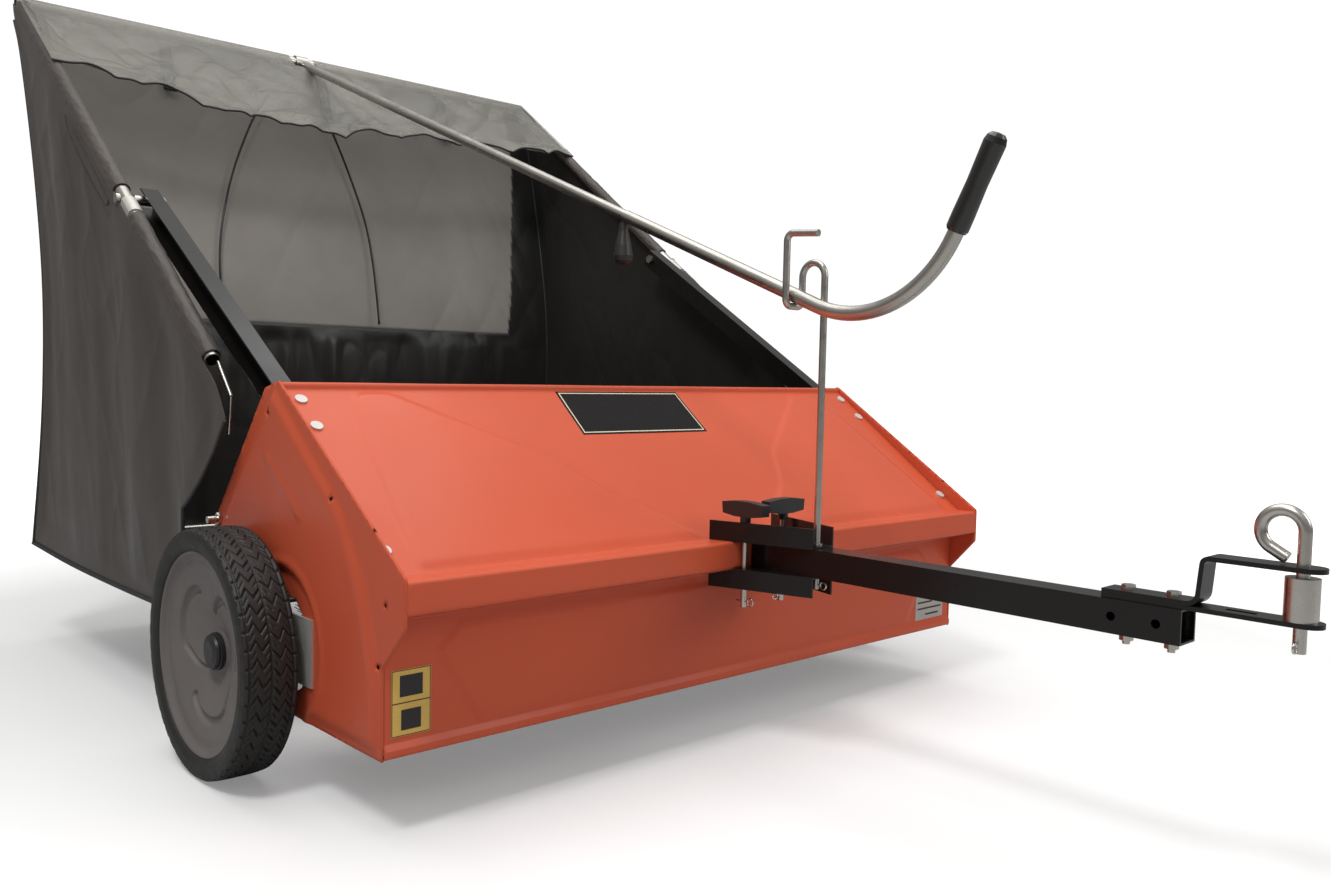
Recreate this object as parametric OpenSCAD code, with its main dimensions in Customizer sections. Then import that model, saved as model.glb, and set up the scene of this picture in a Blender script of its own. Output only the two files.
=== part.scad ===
// Tow-behind lawn sweeper: a sheet-metal housing with a ground-driven brush,
// a drawbar with a pin hitch, and a fabric hopper that dumps about the tops
// of two arms when its long handle is pulled.
// +Z is up, the hitch is at -Y, the hopper at +Y, and Z = 0 is the ground.

/* [Housing] */
// Width over the two side plates
body_w = 1150; // [1100:10:1250]
// Height of the front lip above the ground
lip_z = 96; // [80:1:100]
// Slope of the hood, degrees
hood_slope = 36; // [34:1:37]
// Thickness of the pressed sheet
sheet_t = 2; // [1.5:0.1:2.5]

/* [Wheels] */
// Wheel radius over the tread
wheel_r = 164; // [160:1:166]
// Width of the tyre
tyre_w = 71; // [68:1:74]
// Radius of the rim seat
rim_r = 134; // [132:1:136]
// Radius of the wheel axle
axle_r = 6.35; // [6:0.05:6.6]

/* [Brush] */
// Radius of the brush over its bristles
brush_r = 145; // [130:1:150]
// Teeth on the ring gear inside each wheel
ring_teeth = 56; // [56]
// Teeth on each pinion
pinion_teeth = 10; // [10]
// Size of one tooth, pitch diameter over teeth
gear_module = 4; // [4]

/* [Hitch] */
// Side of the square drawbar
bar_w = 38.1; // [36:0.1:38.1]
// Radius of the hitch pin
pin_r = 6.35; // [6:0.05:6.6]
// Width of the hitch straps
strap_w = 32; // [30:1:36]

/* [Hopper] */
// Radius of the hopper frame tubes
frame_r = 11; // [10:0.5:11]
// Distance of the side tubes from the middle
tube_x = 592; // [592]
// Thickness of the fabric panels
cloth_t = 3; // [2:0.5:3]
// Radius of the dump handle's front tube
dump_r = 10; // [9.5:0.5:10]

/* [Hidden] */
$fn = 64;

// Points below are [y, z], with y measured from the housing's front lip;
// placed() then moves the middle of the whole length to y = 0.
tip_y = -784;

half_w = body_w / 2;
plate_t = 2.5;
fit_gap = 0.05;            // radial running clearance
ridge_y = -51;
ridge_top_z = 307;
ridge_low_z = ridge_top_z - bar_w;
ledge_y = -14;
hood_top_y = 264;
hood_top_z = ridge_top_z + (hood_top_y - ledge_y) * tan(hood_slope);

wheel_c = [335, wheel_r];
ring_r = ring_teeth * gear_module / 2;
pinion_r = pinion_teeth * gear_module / 2;
gear_line = 167.5;         // angle of the pinion seen from the wheel's centre
brush_c = wheel_c + (ring_r - pinion_r) * [cos(gear_line), sin(gear_line)];
wheel_x0 = half_w + 15;    // inner face of the tyre
wheel_x1 = wheel_x0 + tyre_w;
carrier_hole_r = 66;       // in the side plate, behind the brush's bearing carrier
tie_c = [455, 322];
tie_r = 5;

pivot = [790, 800];        // hopper pivot at the tops of the arms
hopper_slope = 36;
top_bar = [1390, pivot[1] + (1390 - pivot[0]) * tan(hopper_slope)];
tube_foot = pivot + (440 - pivot[0]) / cos(hopper_slope) * [cos(hopper_slope), sin(hopper_slope)];
front_sweep_r = 540;       // the bag's front edge, about the pivot
floor_front = [514, 180];
floor_rear = [1303, 186];
back_fold = [1258, 632];   // where the mesh meets the solid cloth
flap_front = [1160, pivot[1] + (1160 - pivot[0]) * tan(hopper_slope)];
side_x = tube_x + frame_r + 1;

arm_slope = 31.6;
arm_x = 555;               // middle of the arm channel
arm_w = 28;
arm_h = 36;
arm_drop = 3;
arm_back = 700;
arm_over = 16;
pivot_bolt_r = 5;

web_t = 3;                 // clamp bracket sheet
clamp_rear = [-14, 67];    // y and half width
clamp_front = [-166, 22];
clamp_flange = 28;
knob_at = [40, -58];       // x and y of each clamp bolt
clamp_bolt_r = 4;
rod_r = 4.75;
rod_y = -155;
bar_front_y = -655;
bar_rear_y = ridge_y - 1;
bar_z = ridge_top_z - bar_w / 2;
bar_wall = 2.5;
hitch_y = -762;
strap_t = 5;
hitch_bolt_ys = [-590, -639];
side_hole_ys = [-580, -629];
side_hole_r = 5;
strap_rear_y = -567;
upper_z = ridge_top_z + 59;   // top of the upper strap's front
spacer_r = 16;
spacer_h = 21.5;
eye_r = 20.5;
eye_z = 399;
pin_foot_z = 280;
clip_r = 1.2;

dump_x = -18;
dump_slope = 21.2;
dump_joint = 1240;         // distance from the top bar to the tube joint
dump_reach = 1661;         // distance from the top bar to the bend
bend_r = 166;
bend_turn = 85.5;
weld_gap = 0.02;           // hairline left between the straight run and the bend
sleeve_r = 15;
mid_y = (tip_y + top_bar[0] + sleeve_r) / 2;

steel = [0.13, 0.12, 0.12];
zinc = [0.66, 0.65, 0.62];
orange = [0.82, 0.36, 0.26];
black = [0.10, 0.10, 0.10];
cloth = [0.24, 0.22, 0.21];
mesh_grey = [0.45, 0.44, 0.41];

// ---------- shared shapes ----------
module placed() translate([0, -mid_y, 0]) children();

module both_sides() {
    children();
    mirror([1, 0, 0]) children();
}

// Extrude a [y, z] outline from x0 to x1
module across(x0, x1) translate([x0, 0, 0]) rotate([90, 0, 90]) linear_extrude(x1 - x0) children();

// Spin an [r, x] outline about a line along X through c
module spun_x(c) translate([0, c[0], c[1]]) rotate([0, 90, 0]) rotate_extrude() children();

module rod_x(x0, x1, c, r) translate([x0, c[0], c[1]]) rotate([0, 90, 0]) cylinder(h = x1 - x0, r = r);

// A round bar from a to b, both [y, z], at one x
module rod_yz(x, a, b, r) {
    d = b - a;
    translate([x, a[0], a[1]]) rotate([-atan2(d[0], d[1]), 0, 0]) cylinder(h = norm(d), r = r);
}

module rod_z(x, y, z0, z1, r) translate([x, y, z0]) cylinder(h = z1 - z0, r = r);

function unit(v) = v / norm(v);
function left_of(v) = [-v[1], v[0]];
function dir(a) = [cos(a), sin(a)];

// A polyline moved sideways by t, with mitred corners
function shifted(p, t) = [for (i = [0:len(p) - 1]) let(
    b = i < len(p) - 1 ? left_of(unit(p[i + 1] - p[i])) : left_of(unit(p[i] - p[i - 1])),
    a = i > 0 ? left_of(unit(p[i] - p[i - 1])) : b)
    p[i] + (a + b) * t / (1 + a * b)];

// The outline of a sheet of thickness t laid on a polyline
function band(p, t) = let(q = shifted(p, t)) concat(p, [for (i = [len(q) - 1:-1:0]) q[i]]);

// An arc that rounds the corner b between a and c
function corner(a, b, c, r, n) = let(
    u = unit(a - b), v = unit(c - b), half = acos(u * v) / 2, turn = 180 - 2 * half,
    m = b + unit(u + v) * r / sin(half), s = b + u * r / tan(half) - m, e = b + v * r / tan(half) - m)
    [for (k = [0:n]) m + (s * sin(turn * (1 - k / n)) + e * sin(turn * k / n)) / sin(turn)];

function rounded(p, r, n = 4) = concat([p[0]],
    [for (i = [1:len(p) - 2]) each corner(p[i - 1], p[i], p[i + 1], r, n)], [p[len(p) - 1]]);

// A gear outline: n teeth, each given as a share of the pitch at its foot and tip
function gear(n, foot_r, tip_r, foot_share, tip_share, turn) = [for (i = [0:n - 1]) each let(
    w = 180 / n, a = turn + 2 * w * i)
    [foot_r * dir(a - w * foot_share), tip_r * dir(a - w * tip_share),
     tip_r * dir(a + w * tip_share), foot_r * dir(a + w * foot_share)]];

// ---------- housing ----------
// Outer surface of the hood, from the bottom return to the rear of the top lip
hood_line = [[12, lip_z - 2], [-4, lip_z - 2], [-4, lip_z + 8], [0, lip_z + 16], [0, 255],
    [ridge_y, ridge_low_z], [ridge_y, ridge_top_z], [ledge_y, ridge_top_z],
    [hood_top_y, hood_top_z], [hood_top_y, hood_top_z + 10], [hood_top_y + 22, hood_top_z + 10]];
arm_screw_ys = [247, 203];
low_screw_y = 19;
screw_x = 562;

// Puts children on the hood's slope at a given x and y, with +Z along its normal
module on_hood(x, y) translate([x, y, ridge_top_z + (y - ledge_y) * tan(hood_slope)])
    rotate([hood_slope, 0, 0]) children();

module screw_cuts(r) both_sides() {
    for (y = arm_screw_ys) on_hood(arm_x, y) translate([0, 0, -30]) cylinder(h = 40, r = r);
    on_hood(screw_x, low_screw_y) translate([0, 0, -30]) cylinder(h = 40, r = r);
}

module hood_panel() color(orange) placed() difference() {
    across(plate_t - half_w, half_w - plate_t) polygon(band(hood_line, -sheet_t));
    screw_cuts(4 + fit_gap);
}

module side_plate() color(orange) placed() difference() {
    across(half_w - plate_t, half_w) polygon([[0, lip_z - 3], [-3, 200], [ridge_y, 254],
        [ridge_y, ridge_top_z + 3], [hood_top_y + 4, hood_top_z + 12], [309, hood_top_z + 2],
        [478, 318], [474, 240], [430, lip_z], [60, lip_z - 3]]);
    rod_x(half_w - 10, half_w + 10, wheel_c, axle_r + fit_gap);
    rod_x(half_w - 10, half_w + 10, brush_c, carrier_hole_r);
    rod_x(half_w - 10, half_w + 10, tie_c, tie_r + fit_gap);
}
module side_plate_right() side_plate();
module side_plate_left() mirror([1, 0, 0]) side_plate();

module rear_tie_rod() color(zinc) placed() {
    rod_x(-half_w - 20, half_w + 20, tie_c, tie_r);
    both_sides() translate([half_w, tie_c[0], tie_c[1]]) rotate([0, 90, 0]) difference() {
        cylinder(h = 7, r = 9.2, $fn = 6);
        translate([0, 0, -1]) cylinder(h = 9, r = tie_r + fit_gap);
    }
}

module badge_plate() color(black) placed() on_hood(-10, 220)
    linear_extrude(0.8) polygon([[-123, 54], [135, 54], [124, -54], [-136, -54]]);

module front_label() color("gold") placed() translate([-563, -0.8, 118]) cube([52, 0.8, 78]);

module hood_screws() color("white") placed() both_sides() {
    for (y = arm_screw_ys) on_hood(arm_x, y) {
        cylinder(h = 3, r = 8);
        translate([0, 0, -16]) cylinder(h = 16, r = 4);
    }
    on_hood(screw_x, low_screw_y) {
        cylinder(h = 3, r = 8);
        translate([0, 0, -16]) cylinder(h = 16, r = 4);
    }
}

module arm() color(black) placed() difference() {
    translate([arm_x - arm_w / 2, pivot[0], pivot[1]]) rotate([arm_slope, 0, 0])
        translate([0, -arm_back, -arm_h / 2 - arm_drop]) difference() {
            cube([arm_w, arm_back + arm_over, arm_h]);
            translate([plate_t, -1, plate_t])
                cube([arm_w, arm_back + arm_over + 2, arm_h - 2 * plate_t]);
        }
    screw_cuts(4 + fit_gap);
    rod_x(arm_x - arm_w, arm_x + arm_w, pivot, pivot_bolt_r + fit_gap);
}
module arm_right() arm();
module arm_left() mirror([1, 0, 0]) arm();

// A shouldered bolt: nut, shank, spacer up to the hopper tube, head outside it
module pivot_bolts() color(zinc) placed() both_sides() {
    rod_x(arm_x - arm_w / 2 - 8, side_x + 2, pivot, pivot_bolt_r);
    rod_x(arm_x - arm_w / 2 + plate_t, tube_x - frame_r - 0.3, pivot, 8);
    rod_x(tube_x + frame_r + 0.3, tube_x + frame_r + 6, pivot, 8);
    translate([arm_x - arm_w / 2 - 8, pivot[0], pivot[1]]) rotate([0, 90, 0])
        cylinder(h = 8, r = 9.2, $fn = 6);
}

module axles() color(zinc) placed() both_sides() {
    rod_x(half_w - 16, wheel_x0 + 44, wheel_c, axle_r);
    rod_x(half_w, half_w + 4, wheel_c, 15);
    rod_x(half_w + 4, wheel_x0 - 0.3, wheel_c, 10);
    translate([half_w - plate_t - 9, wheel_c[0], wheel_c[1]]) rotate([0, 90, 0])
        cylinder(h = 9, r = 12, $fn = 6);
}

module bearing_carriers() color(zinc) placed() both_sides() difference() {
    union() {
        across(half_w, half_w + 3) translate([brush_c[0] - 76, brush_c[1] - 43]) square([146, 86]);
        rod_x(half_w + 3, half_w + 11, brush_c, 20);
    }
    rod_x(half_w - 1, half_w + 12, brush_c, 8 + fit_gap);
}

// ---------- drawbar, clamp and hitch ----------
module drawbar() color(steel) placed() difference() {
    translate([-bar_w / 2, bar_front_y, ridge_low_z]) cube([bar_w, bar_rear_y - bar_front_y, bar_w]);
    translate([bar_wall - bar_w / 2, bar_front_y - 1, ridge_low_z + bar_wall])
        cube([bar_w - 2 * bar_wall, bar_rear_y - bar_front_y + 2, bar_w - 2 * bar_wall]);
    rod_z(0, rod_y, ridge_low_z - 5, ridge_top_z + 5, rod_r + fit_gap);
    for (y = hitch_bolt_ys) rod_z(0, y, ridge_low_z - 5, ridge_top_z + 5, 4 + fit_gap);
    for (y = side_hole_ys) rod_x(-bar_w, bar_w, [y, bar_z], side_hole_r);
}

function clamp_outline() = [[-clamp_rear[1], clamp_rear[0]], [-clamp_front[1], clamp_front[0]],
    [clamp_front[1], clamp_front[0]], [clamp_rear[1], clamp_rear[0]]];
function flange_outline() = [[clamp_rear[1], clamp_rear[0]], [clamp_front[1], clamp_front[0]],
    [clamp_front[1] - web_t, clamp_front[0]], [clamp_rear[1] - web_t, clamp_rear[0]]];

// A tapered channel: a web with a flange along each side
module clamp_bracket(web_z, flange_z) difference() {
    union() {
        translate([0, 0, web_z]) linear_extrude(web_t) polygon(clamp_outline());
        both_sides() translate([0, 0, flange_z]) linear_extrude(clamp_flange) polygon(flange_outline());
    }
    both_sides() rod_z(knob_at[0], knob_at[1], web_z - 1, web_z + web_t + 1, clamp_bolt_r + fit_gap);
    rod_z(0, rod_y, web_z - 1, web_z + web_t + 1, rod_r + fit_gap);
}
// The rear ends are cut to clear the hood: its slope above, the ridge's underside below
module clamp_upper() color(black) placed() difference() {
    clamp_bracket(ridge_top_z, ridge_top_z);
    across(-80, 80) polygon([[ledge_y - 1.5, ridge_top_z], [ledge_y + 60, ridge_top_z],
        [ledge_y + 60, ridge_top_z + 61.5 * tan(hood_slope)]]);
}
module clamp_lower() color(black) placed() difference() {
    clamp_bracket(ridge_low_z - web_t, ridge_low_z - clamp_flange);
    across(-80, 80) polygon([[ridge_y - 1, ridge_low_z - 0.5], [-39, ridge_low_z - web_t - 1],
        [0, 254], [0, ridge_low_z + 5], [ridge_y - 1, ridge_low_z + 5]]);
}

module knob_grip() color(black) placed() translate([knob_at[0], knob_at[1], 0]) difference() {
    union() {
        rod_z(0, 0, 333, 348, 7.5);
        translate([0, 8, 0]) rotate([90, 0, 0]) linear_extrude(16)
            polygon([[-14, 342], [-37, 345], [-38.5, 361], [-12, 364], [12, 364], [38.5, 361],
                [37, 345], [14, 342]]);
    }
    rod_z(0, 0, 330, 352, clamp_bolt_r);
}
module knob_bolt() color(zinc) placed() difference() {
    rod_z(knob_at[0], knob_at[1], 214, 352, clamp_bolt_r);
    rod_x(knob_at[0] - 10, knob_at[0] + 10, [knob_at[1], 222], clip_r + fit_gap);
}
// A hair clip: a leg through the hole, an eye, and the springy leg outside
module hair_clip(len) {
    rod_x(-8, len - 8, [0, 0], clip_r);
    translate([-13, 0, 0]) rotate([90, 0, 0]) rotate_extrude() translate([5, 0])
        circle(r = clip_r, $fn = 16);
}
module knob_clip() color(zinc) placed() translate([knob_at[0], knob_at[1], 222]) hair_clip(22);

module knob_right_grip() knob_grip();
module knob_right_bolt() knob_bolt();
module knob_right_clip() knob_clip();
// The left knob is parked a quarter turn from the right one
module quarter_turn() placed() translate([-knob_at[0], knob_at[1], 0]) rotate([0, 0, 90])
    translate([-knob_at[0], -knob_at[1], 0]) translate([0, mid_y, 0]) children();
module knob_left_grip() quarter_turn() knob_grip();
module knob_left_bolt() quarter_turn() knob_bolt();
module knob_left_clip() quarter_turn() knob_clip();

// A quarter bend of wire: starts at the origin going +Z and ends going +X
module wire_bend(r, wire) translate([r, 0, 0]) rotate([90, 0, 180]) rotate_extrude(angle = 90)
    translate([r, 0]) circle(r = wire, $fn = 32);

loop_z = 676;              // centre of the rod's upper hook
loop_y = -116;             // its short leg
cradle_z = 635.8;            // wire under the dump tube
near_x = -34;
elbow_r = 10;
handle_z = 733;
module support_rod() color(zinc) placed() {
    hook_r = (loop_y - rod_y) / 2;
    difference() {
        rod_z(0, rod_y, 250, loop_z, rod_r);
        rod_yz(0, [rod_y - 10, 256], [rod_y + 10, 256], clip_r + fit_gap);
    }
    rod_z(0, rod_y, ridge_top_z + web_t, ridge_top_z + web_t + 3, 8);
    translate([0, rod_y + hook_r, loop_z]) rotate([90, 0, 90]) rotate_extrude(angle = 180)
        translate([hook_r, 0]) circle(r = rod_r, $fn = 32);
    rod_z(0, loop_y, cradle_z + elbow_r, loop_z, rod_r);
    translate([0, loop_y, cradle_z + elbow_r]) rotate([0, 180, 0]) wire_bend(elbow_r, rod_r);
    rod_x(near_x + elbow_r, -elbow_r, [loop_y, cradle_z], rod_r);
    translate([near_x, loop_y, cradle_z + elbow_r]) mirror([0, 0, 1]) wire_bend(elbow_r, rod_r);
    rod_z(near_x, loop_y, cradle_z + elbow_r, handle_z - elbow_r, rod_r);
    translate([near_x, loop_y, handle_z - elbow_r]) rotate([0, 0, -90]) wire_bend(elbow_r, rod_r);
    rod_yz(near_x, [loop_y - elbow_r, handle_z], [loop_y - 54, handle_z - 3], rod_r);
}
module support_rod_clip() color(zinc) placed() translate([0, rod_y, 256]) rotate([0, 0, 90]) hair_clip(22);

module strap_plan(front_y) {
    translate([-strap_w / 2, front_y + strap_w / 2])
        square([strap_w, strap_rear_y - front_y - strap_w / 2]);
    translate([0, front_y + strap_w / 2]) circle(r = strap_w / 2);
}
module hitch_strap_lower() color(steel) placed() difference() {
    translate([0, 0, ridge_top_z]) linear_extrude(strap_t) strap_plan(tip_y);
    rod_z(0, hitch_y, 300, 320, pin_r + fit_gap);
    for (y = hitch_bolt_ys) rod_z(0, y, 300, 320, 4 + fit_gap);
    translate([-4, -722, 300]) cube([8, 30, 20]);
}
strap_line = [[strap_rear_y, ridge_top_z + 2 * strap_t], [-666, ridge_top_z + 2 * strap_t],
    [-670, upper_z], [tip_y, upper_z]];
module hitch_strap_upper() color(steel) placed() difference() {
    intersection() {
        across(-strap_w / 2, strap_w / 2) polygon(band(rounded(strap_line, 9, 5), strap_t));
        translate([0, 0, 300]) linear_extrude(80) strap_plan(tip_y);
    }
    rod_z(0, hitch_y, 350, 380, pin_r + fit_gap);
    for (y = hitch_bolt_ys) rod_z(0, y, 300, 330, 4 + fit_gap);
}
bolt_top = ridge_top_z + 2 * strap_t;
module hitch_bolts() color(zinc) placed() for (y = hitch_bolt_ys) {
    rod_z(0, y, ridge_low_z - 12, bolt_top, 4);
    translate([0, y, bolt_top]) cylinder(h = 5.5, r = 7.5, $fn = 6);
}
module hitch_nuts() color(zinc) placed() for (y = hitch_bolt_ys) translate([0, y, 0]) difference() {
    union() {
        rod_z(0, 0, ridge_low_z - 2, ridge_low_z, 9);
        translate([0, 0, ridge_low_z - 8]) cylinder(h = 6, r = 7.5, $fn = 6);
    }
    rod_z(0, 0, ridge_low_z - 10, ridge_low_z + 1, 4 + fit_gap);
}
module hitch_spacers() color(zinc) placed() for (k = [0, 1]) difference() {
    rod_z(0, hitch_y, ridge_top_z + strap_t + k * spacer_h, ridge_top_z + strap_t + (k + 1) * spacer_h,
        spacer_r);
    rod_z(0, hitch_y, 300, 370, pin_r + fit_gap);
}
// A straight pin whose top is bent round into a lifting eye
eye_turn = 240;
eye_tail = 18;
module hitch_pin() color(zinc) placed() {
    difference() {
        rod_z(0, hitch_y, pin_foot_z, eye_z, pin_r);
        rod_x(-10, 10, [hitch_y, pin_foot_z + 7], clip_r + fit_gap);
    }
    translate([0, hitch_y + eye_r, eye_z]) rotate([90, 0, -90]) rotate_extrude(angle = eye_turn)
        translate([eye_r, 0]) circle(r = pin_r, $fn = 48);
    tail = [hitch_y + eye_r * (1 - cos(eye_turn)), eye_z + eye_r * sin(eye_turn)];
    rod_yz(0, tail, tail + eye_tail * [sin(eye_turn), cos(eye_turn)], pin_r);
}
module hitch_clip() color(zinc) placed() translate([0, hitch_y, pin_foot_z + 7]) hair_clip(22);

// ---------- wheels and brush ----------
module tyre() color(black) placed() spun_x(wheel_c) polygon([[rim_r, wheel_x0 + 4], [rim_r, wheel_x1 - 4],
    [rim_r + 6, wheel_x1], [rim_r + 18, wheel_x1], [wheel_r - 4, wheel_x1 - 5], [wheel_r - 1, wheel_x1 - 13],
    [wheel_r, wheel_x1 - 25], [wheel_r, wheel_x0 + 25], [wheel_r - 1, wheel_x0 + 13],
    [wheel_r - 4, wheel_x0 + 5], [rim_r + 18, wheel_x0], [rim_r + 6, wheel_x0]]);

hub_r = 22;
bush_r = 9;
gear_x0 = wheel_x0 + 3;
gear_w = 12;
// A dished disc with a hub, a rim barrel and the ring gear on its inner side
module wheel_disc() color([0.42, 0.40, 0.38]) placed() {
    spun_x(wheel_c) polygon([[bush_r, wheel_x0 + 2], [hub_r - 2, wheel_x0 + 2], [hub_r, wheel_x0 + 26],
        [120, wheel_x1 - 18], [rim_r - 5, wheel_x1 - 18], [rim_r - 5, wheel_x0 + 5], [rim_r, wheel_x0 + 5],
        [rim_r, wheel_x1 - 5], [rim_r - 4, wheel_x1 - 4], [rim_r - 8, wheel_x1 - 10], [120, wheel_x1 - 13],
        [hub_r + 4, wheel_x0 + 32], [hub_r + 2, wheel_x0 + 36], [bush_r, wheel_x0 + 36]]);
    difference() {
        across(gear_x0, gear_x0 + gear_w) translate(wheel_c) difference() {
            circle(r = rim_r - 3);
            polygon(gear(ring_teeth, ring_r - 3.4, ring_r + 4.6, 0.78, 0.38, gear_line));
        }
        spun_x(wheel_c) translate([rim_r - 4.5, gear_x0 - 1]) square([10, gear_w + 2]);
    }
}
module wheel_bush() color([0.8, 0.78, 0.7]) placed() spun_x(wheel_c)
    translate([axle_r + fit_gap, wheel_x0]) square([bush_r - axle_r - fit_gap, 38]);
module hub_cap() color(black) placed() spun_x(wheel_c) polygon([[bush_r + 1, wheel_x0 + 36],
    [24, wheel_x0 + 36], [25, wheel_x0 + 38], [25, wheel_x0 + 42], [23, wheel_x0 + 43],
    [23.5, wheel_x0 + 45], [22, wheel_x0 + 48], [14, wheel_x0 + 50.5], [0, wheel_x0 + 51],
    [0, wheel_x0 + 47], [bush_r + 1, wheel_x0 + 47]]);

module tyre_right() tyre();
module wheel_disc_right() wheel_disc();
module wheel_bush_right() wheel_bush();
module hub_cap_right() hub_cap();
module tyre_left() mirror([1, 0, 0]) tyre();
module wheel_disc_left() mirror([1, 0, 0]) wheel_disc();
module wheel_bush_left() mirror([1, 0, 0]) wheel_bush();
module hub_cap_left() mirror([1, 0, 0]) hub_cap();

shaft_r = 8;
core_r = 26;
strip_count = 6;
brush_half = half_w - 75;
module brush_shaft() color(zinc) placed() rod_x(-gear_x0 - gear_w, gear_x0 + gear_w, brush_c, shaft_r);
module brush_core() color(steel) placed() difference() {
    rod_x(-brush_half, brush_half, brush_c, core_r);
    rod_x(-brush_half - 1, brush_half + 1, brush_c, shaft_r);
}
module brush_strips() color(black) placed() translate([0, brush_c[0], brush_c[1]])
    for (i = [0:strip_count - 1]) rotate([360 * i / strip_count, 0, 0])
        translate([-brush_half, -7, core_r]) cube([2 * brush_half, 14, brush_r - core_r]);
module pinions() color([0.85, 0.84, 0.8]) placed() both_sides() difference() {
    across(gear_x0 + 0.5, gear_x0 + gear_w) translate(brush_c)
        polygon(gear(pinion_teeth, pinion_r - 4.6, pinion_r + 3.4, 0.60, 0.18, gear_line));
    rod_x(gear_x0 - 1, gear_x0 + gear_w + 1, brush_c, shaft_r);
}

// ---------- hopper ----------
frame_wall = 1.6;
along = dir(hopper_slope);
module hopper_tube() color(zinc) placed() difference() {
    rod_yz(tube_x, tube_foot, top_bar - (frame_r + 0.2) * along, frame_r);
    rod_yz(tube_x, tube_foot - 2 * along, top_bar, frame_r - frame_wall);
    rod_x(tube_x - 20, tube_x + 20, pivot, pivot_bolt_r + fit_gap);
}
module hopper_tube_right() hopper_tube();
module hopper_tube_left() mirror([1, 0, 0]) hopper_tube();

module hopper_top_bar() color(zinc) placed() difference() {
    rod_x(-tube_x - frame_r, tube_x + frame_r, top_bar, frame_r);
    rod_x(-tube_x - frame_r - 1, tube_x + frame_r + 1, top_bar, frame_r - frame_wall);
}
rod_wire = 4;
module hopper_rods() color(zinc) placed() for (c = [floor_front + [8, 7.6], floor_rear + [-10, 7.6]])
    rod_x(-side_x + 0.5, side_x - 0.5, c, rod_wire);

module pivot_clamps() color(zinc) placed() both_sides() difference() {
    rod_yz(tube_x, pivot - 52 * along, pivot - 12 * along, frame_r + 2.2);
    rod_yz(tube_x, pivot - 60 * along, pivot, frame_r + fit_gap);
    translate([side_x - 0.5, 0, 0]) cube([20, 2000, 2000]);
}
// A bent wire hook that holds the bag's front corner to the tube's foot
hook_wire = 2.5;
hook_x = tube_x - 6;
module bag_hooks() color(zinc) placed() both_sides() {
    a = tube_foot - 4 * along;
    b = a + [-44, -46];
    rod_yz(hook_x, a, b, hook_wire);
    translate([hook_x, b[0], b[1]]) sphere(r = hook_wire);
    rod_yz(hook_x, b, b + [8, -52], hook_wire);
}

// The bag's side, from the tube's foot round the front edge to the rear
function side_outline() = concat([tube_foot], [for (k = [0:4]) pivot + front_sweep_r * dir(218 + 5.5 * k)],
    [floor_front, floor_rear, back_fold, top_bar + [-2, -18], top_bar - 12 * along]);
module bag_side() color(cloth) placed() difference() {
    across(side_x, side_x + cloth_t) polygon(side_outline());
    rod_x(side_x - 10, side_x + 10, pivot, 14);
}
module bag_side_right() bag_side();
module bag_side_left() mirror([1, 0, 0]) bag_side();

back_top = top_bar + [-3, -18];
module bag_panel(a, b, t) across(-side_x, side_x) polygon(band([a, b], t));
module bag_back_mesh() color(mesh_grey) placed() bag_panel(back_top, back_fold, -cloth_t);
module bag_back_cloth() color(cloth) placed() bag_panel(back_fold, floor_rear, -cloth_t);
module bag_floor() color(cloth) placed() bag_panel(floor_front, floor_rear - [cloth_t + 1, 0], cloth_t);
flap_lift = frame_r + 1;
module bag_flap() color(mesh_grey) placed() difference() {
    bag_panel(top_bar - 22 * along + flap_lift * left_of(along),
        flap_front + flap_lift * left_of(along), -cloth_t);
    translate([dump_x - 24, top_bar[0] - 115, top_bar[1] - 115]) cube([48, 150, 150]);
}

// Two thin springy stays inside the back panel
stay_r = 2.5;
module bag_stays() color(black) placed() for (x = [-250, 190])
    rod_yz(x, back_fold + [-9, 6], back_top + [-9, -8], stay_r);

// ---------- dump handle ----------
run = -dir(dump_slope);
dump_wall = 1.5;
tube_step = 1;             // the rear tube is this much slimmer
function dump_at(s) = top_bar + s * run;

module dump_tube_rear() color(zinc) placed() difference() {
    union() {
        rod_yz(dump_x, top_bar, dump_at(dump_joint + 60), dump_r - tube_step);
        rod_x(dump_x - 15, dump_x + 15, top_bar, sleeve_r);
    }
    rod_yz(dump_x, dump_at(sleeve_r + 4), dump_at(dump_joint + 70), dump_r - tube_step - dump_wall);
    rod_x(dump_x - 20, dump_x + 20, top_bar, frame_r + fit_gap);
}
// The bend, drawn in the Y-Z plane: it starts along run and turns upwards
bend_c = dump_at(dump_reach) + bend_r * left_of(-run);
rise = dir(180 + dump_slope - bend_turn);
module dump_bend(r) translate([dump_x, bend_c[0], bend_c[1]]) rotate([90, 0, 90])
    rotate([0, 0, dump_slope - 90 - bend_turn]) rotate_extrude(angle = bend_turn)
        translate([bend_r, 0]) circle(r = r);

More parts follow.
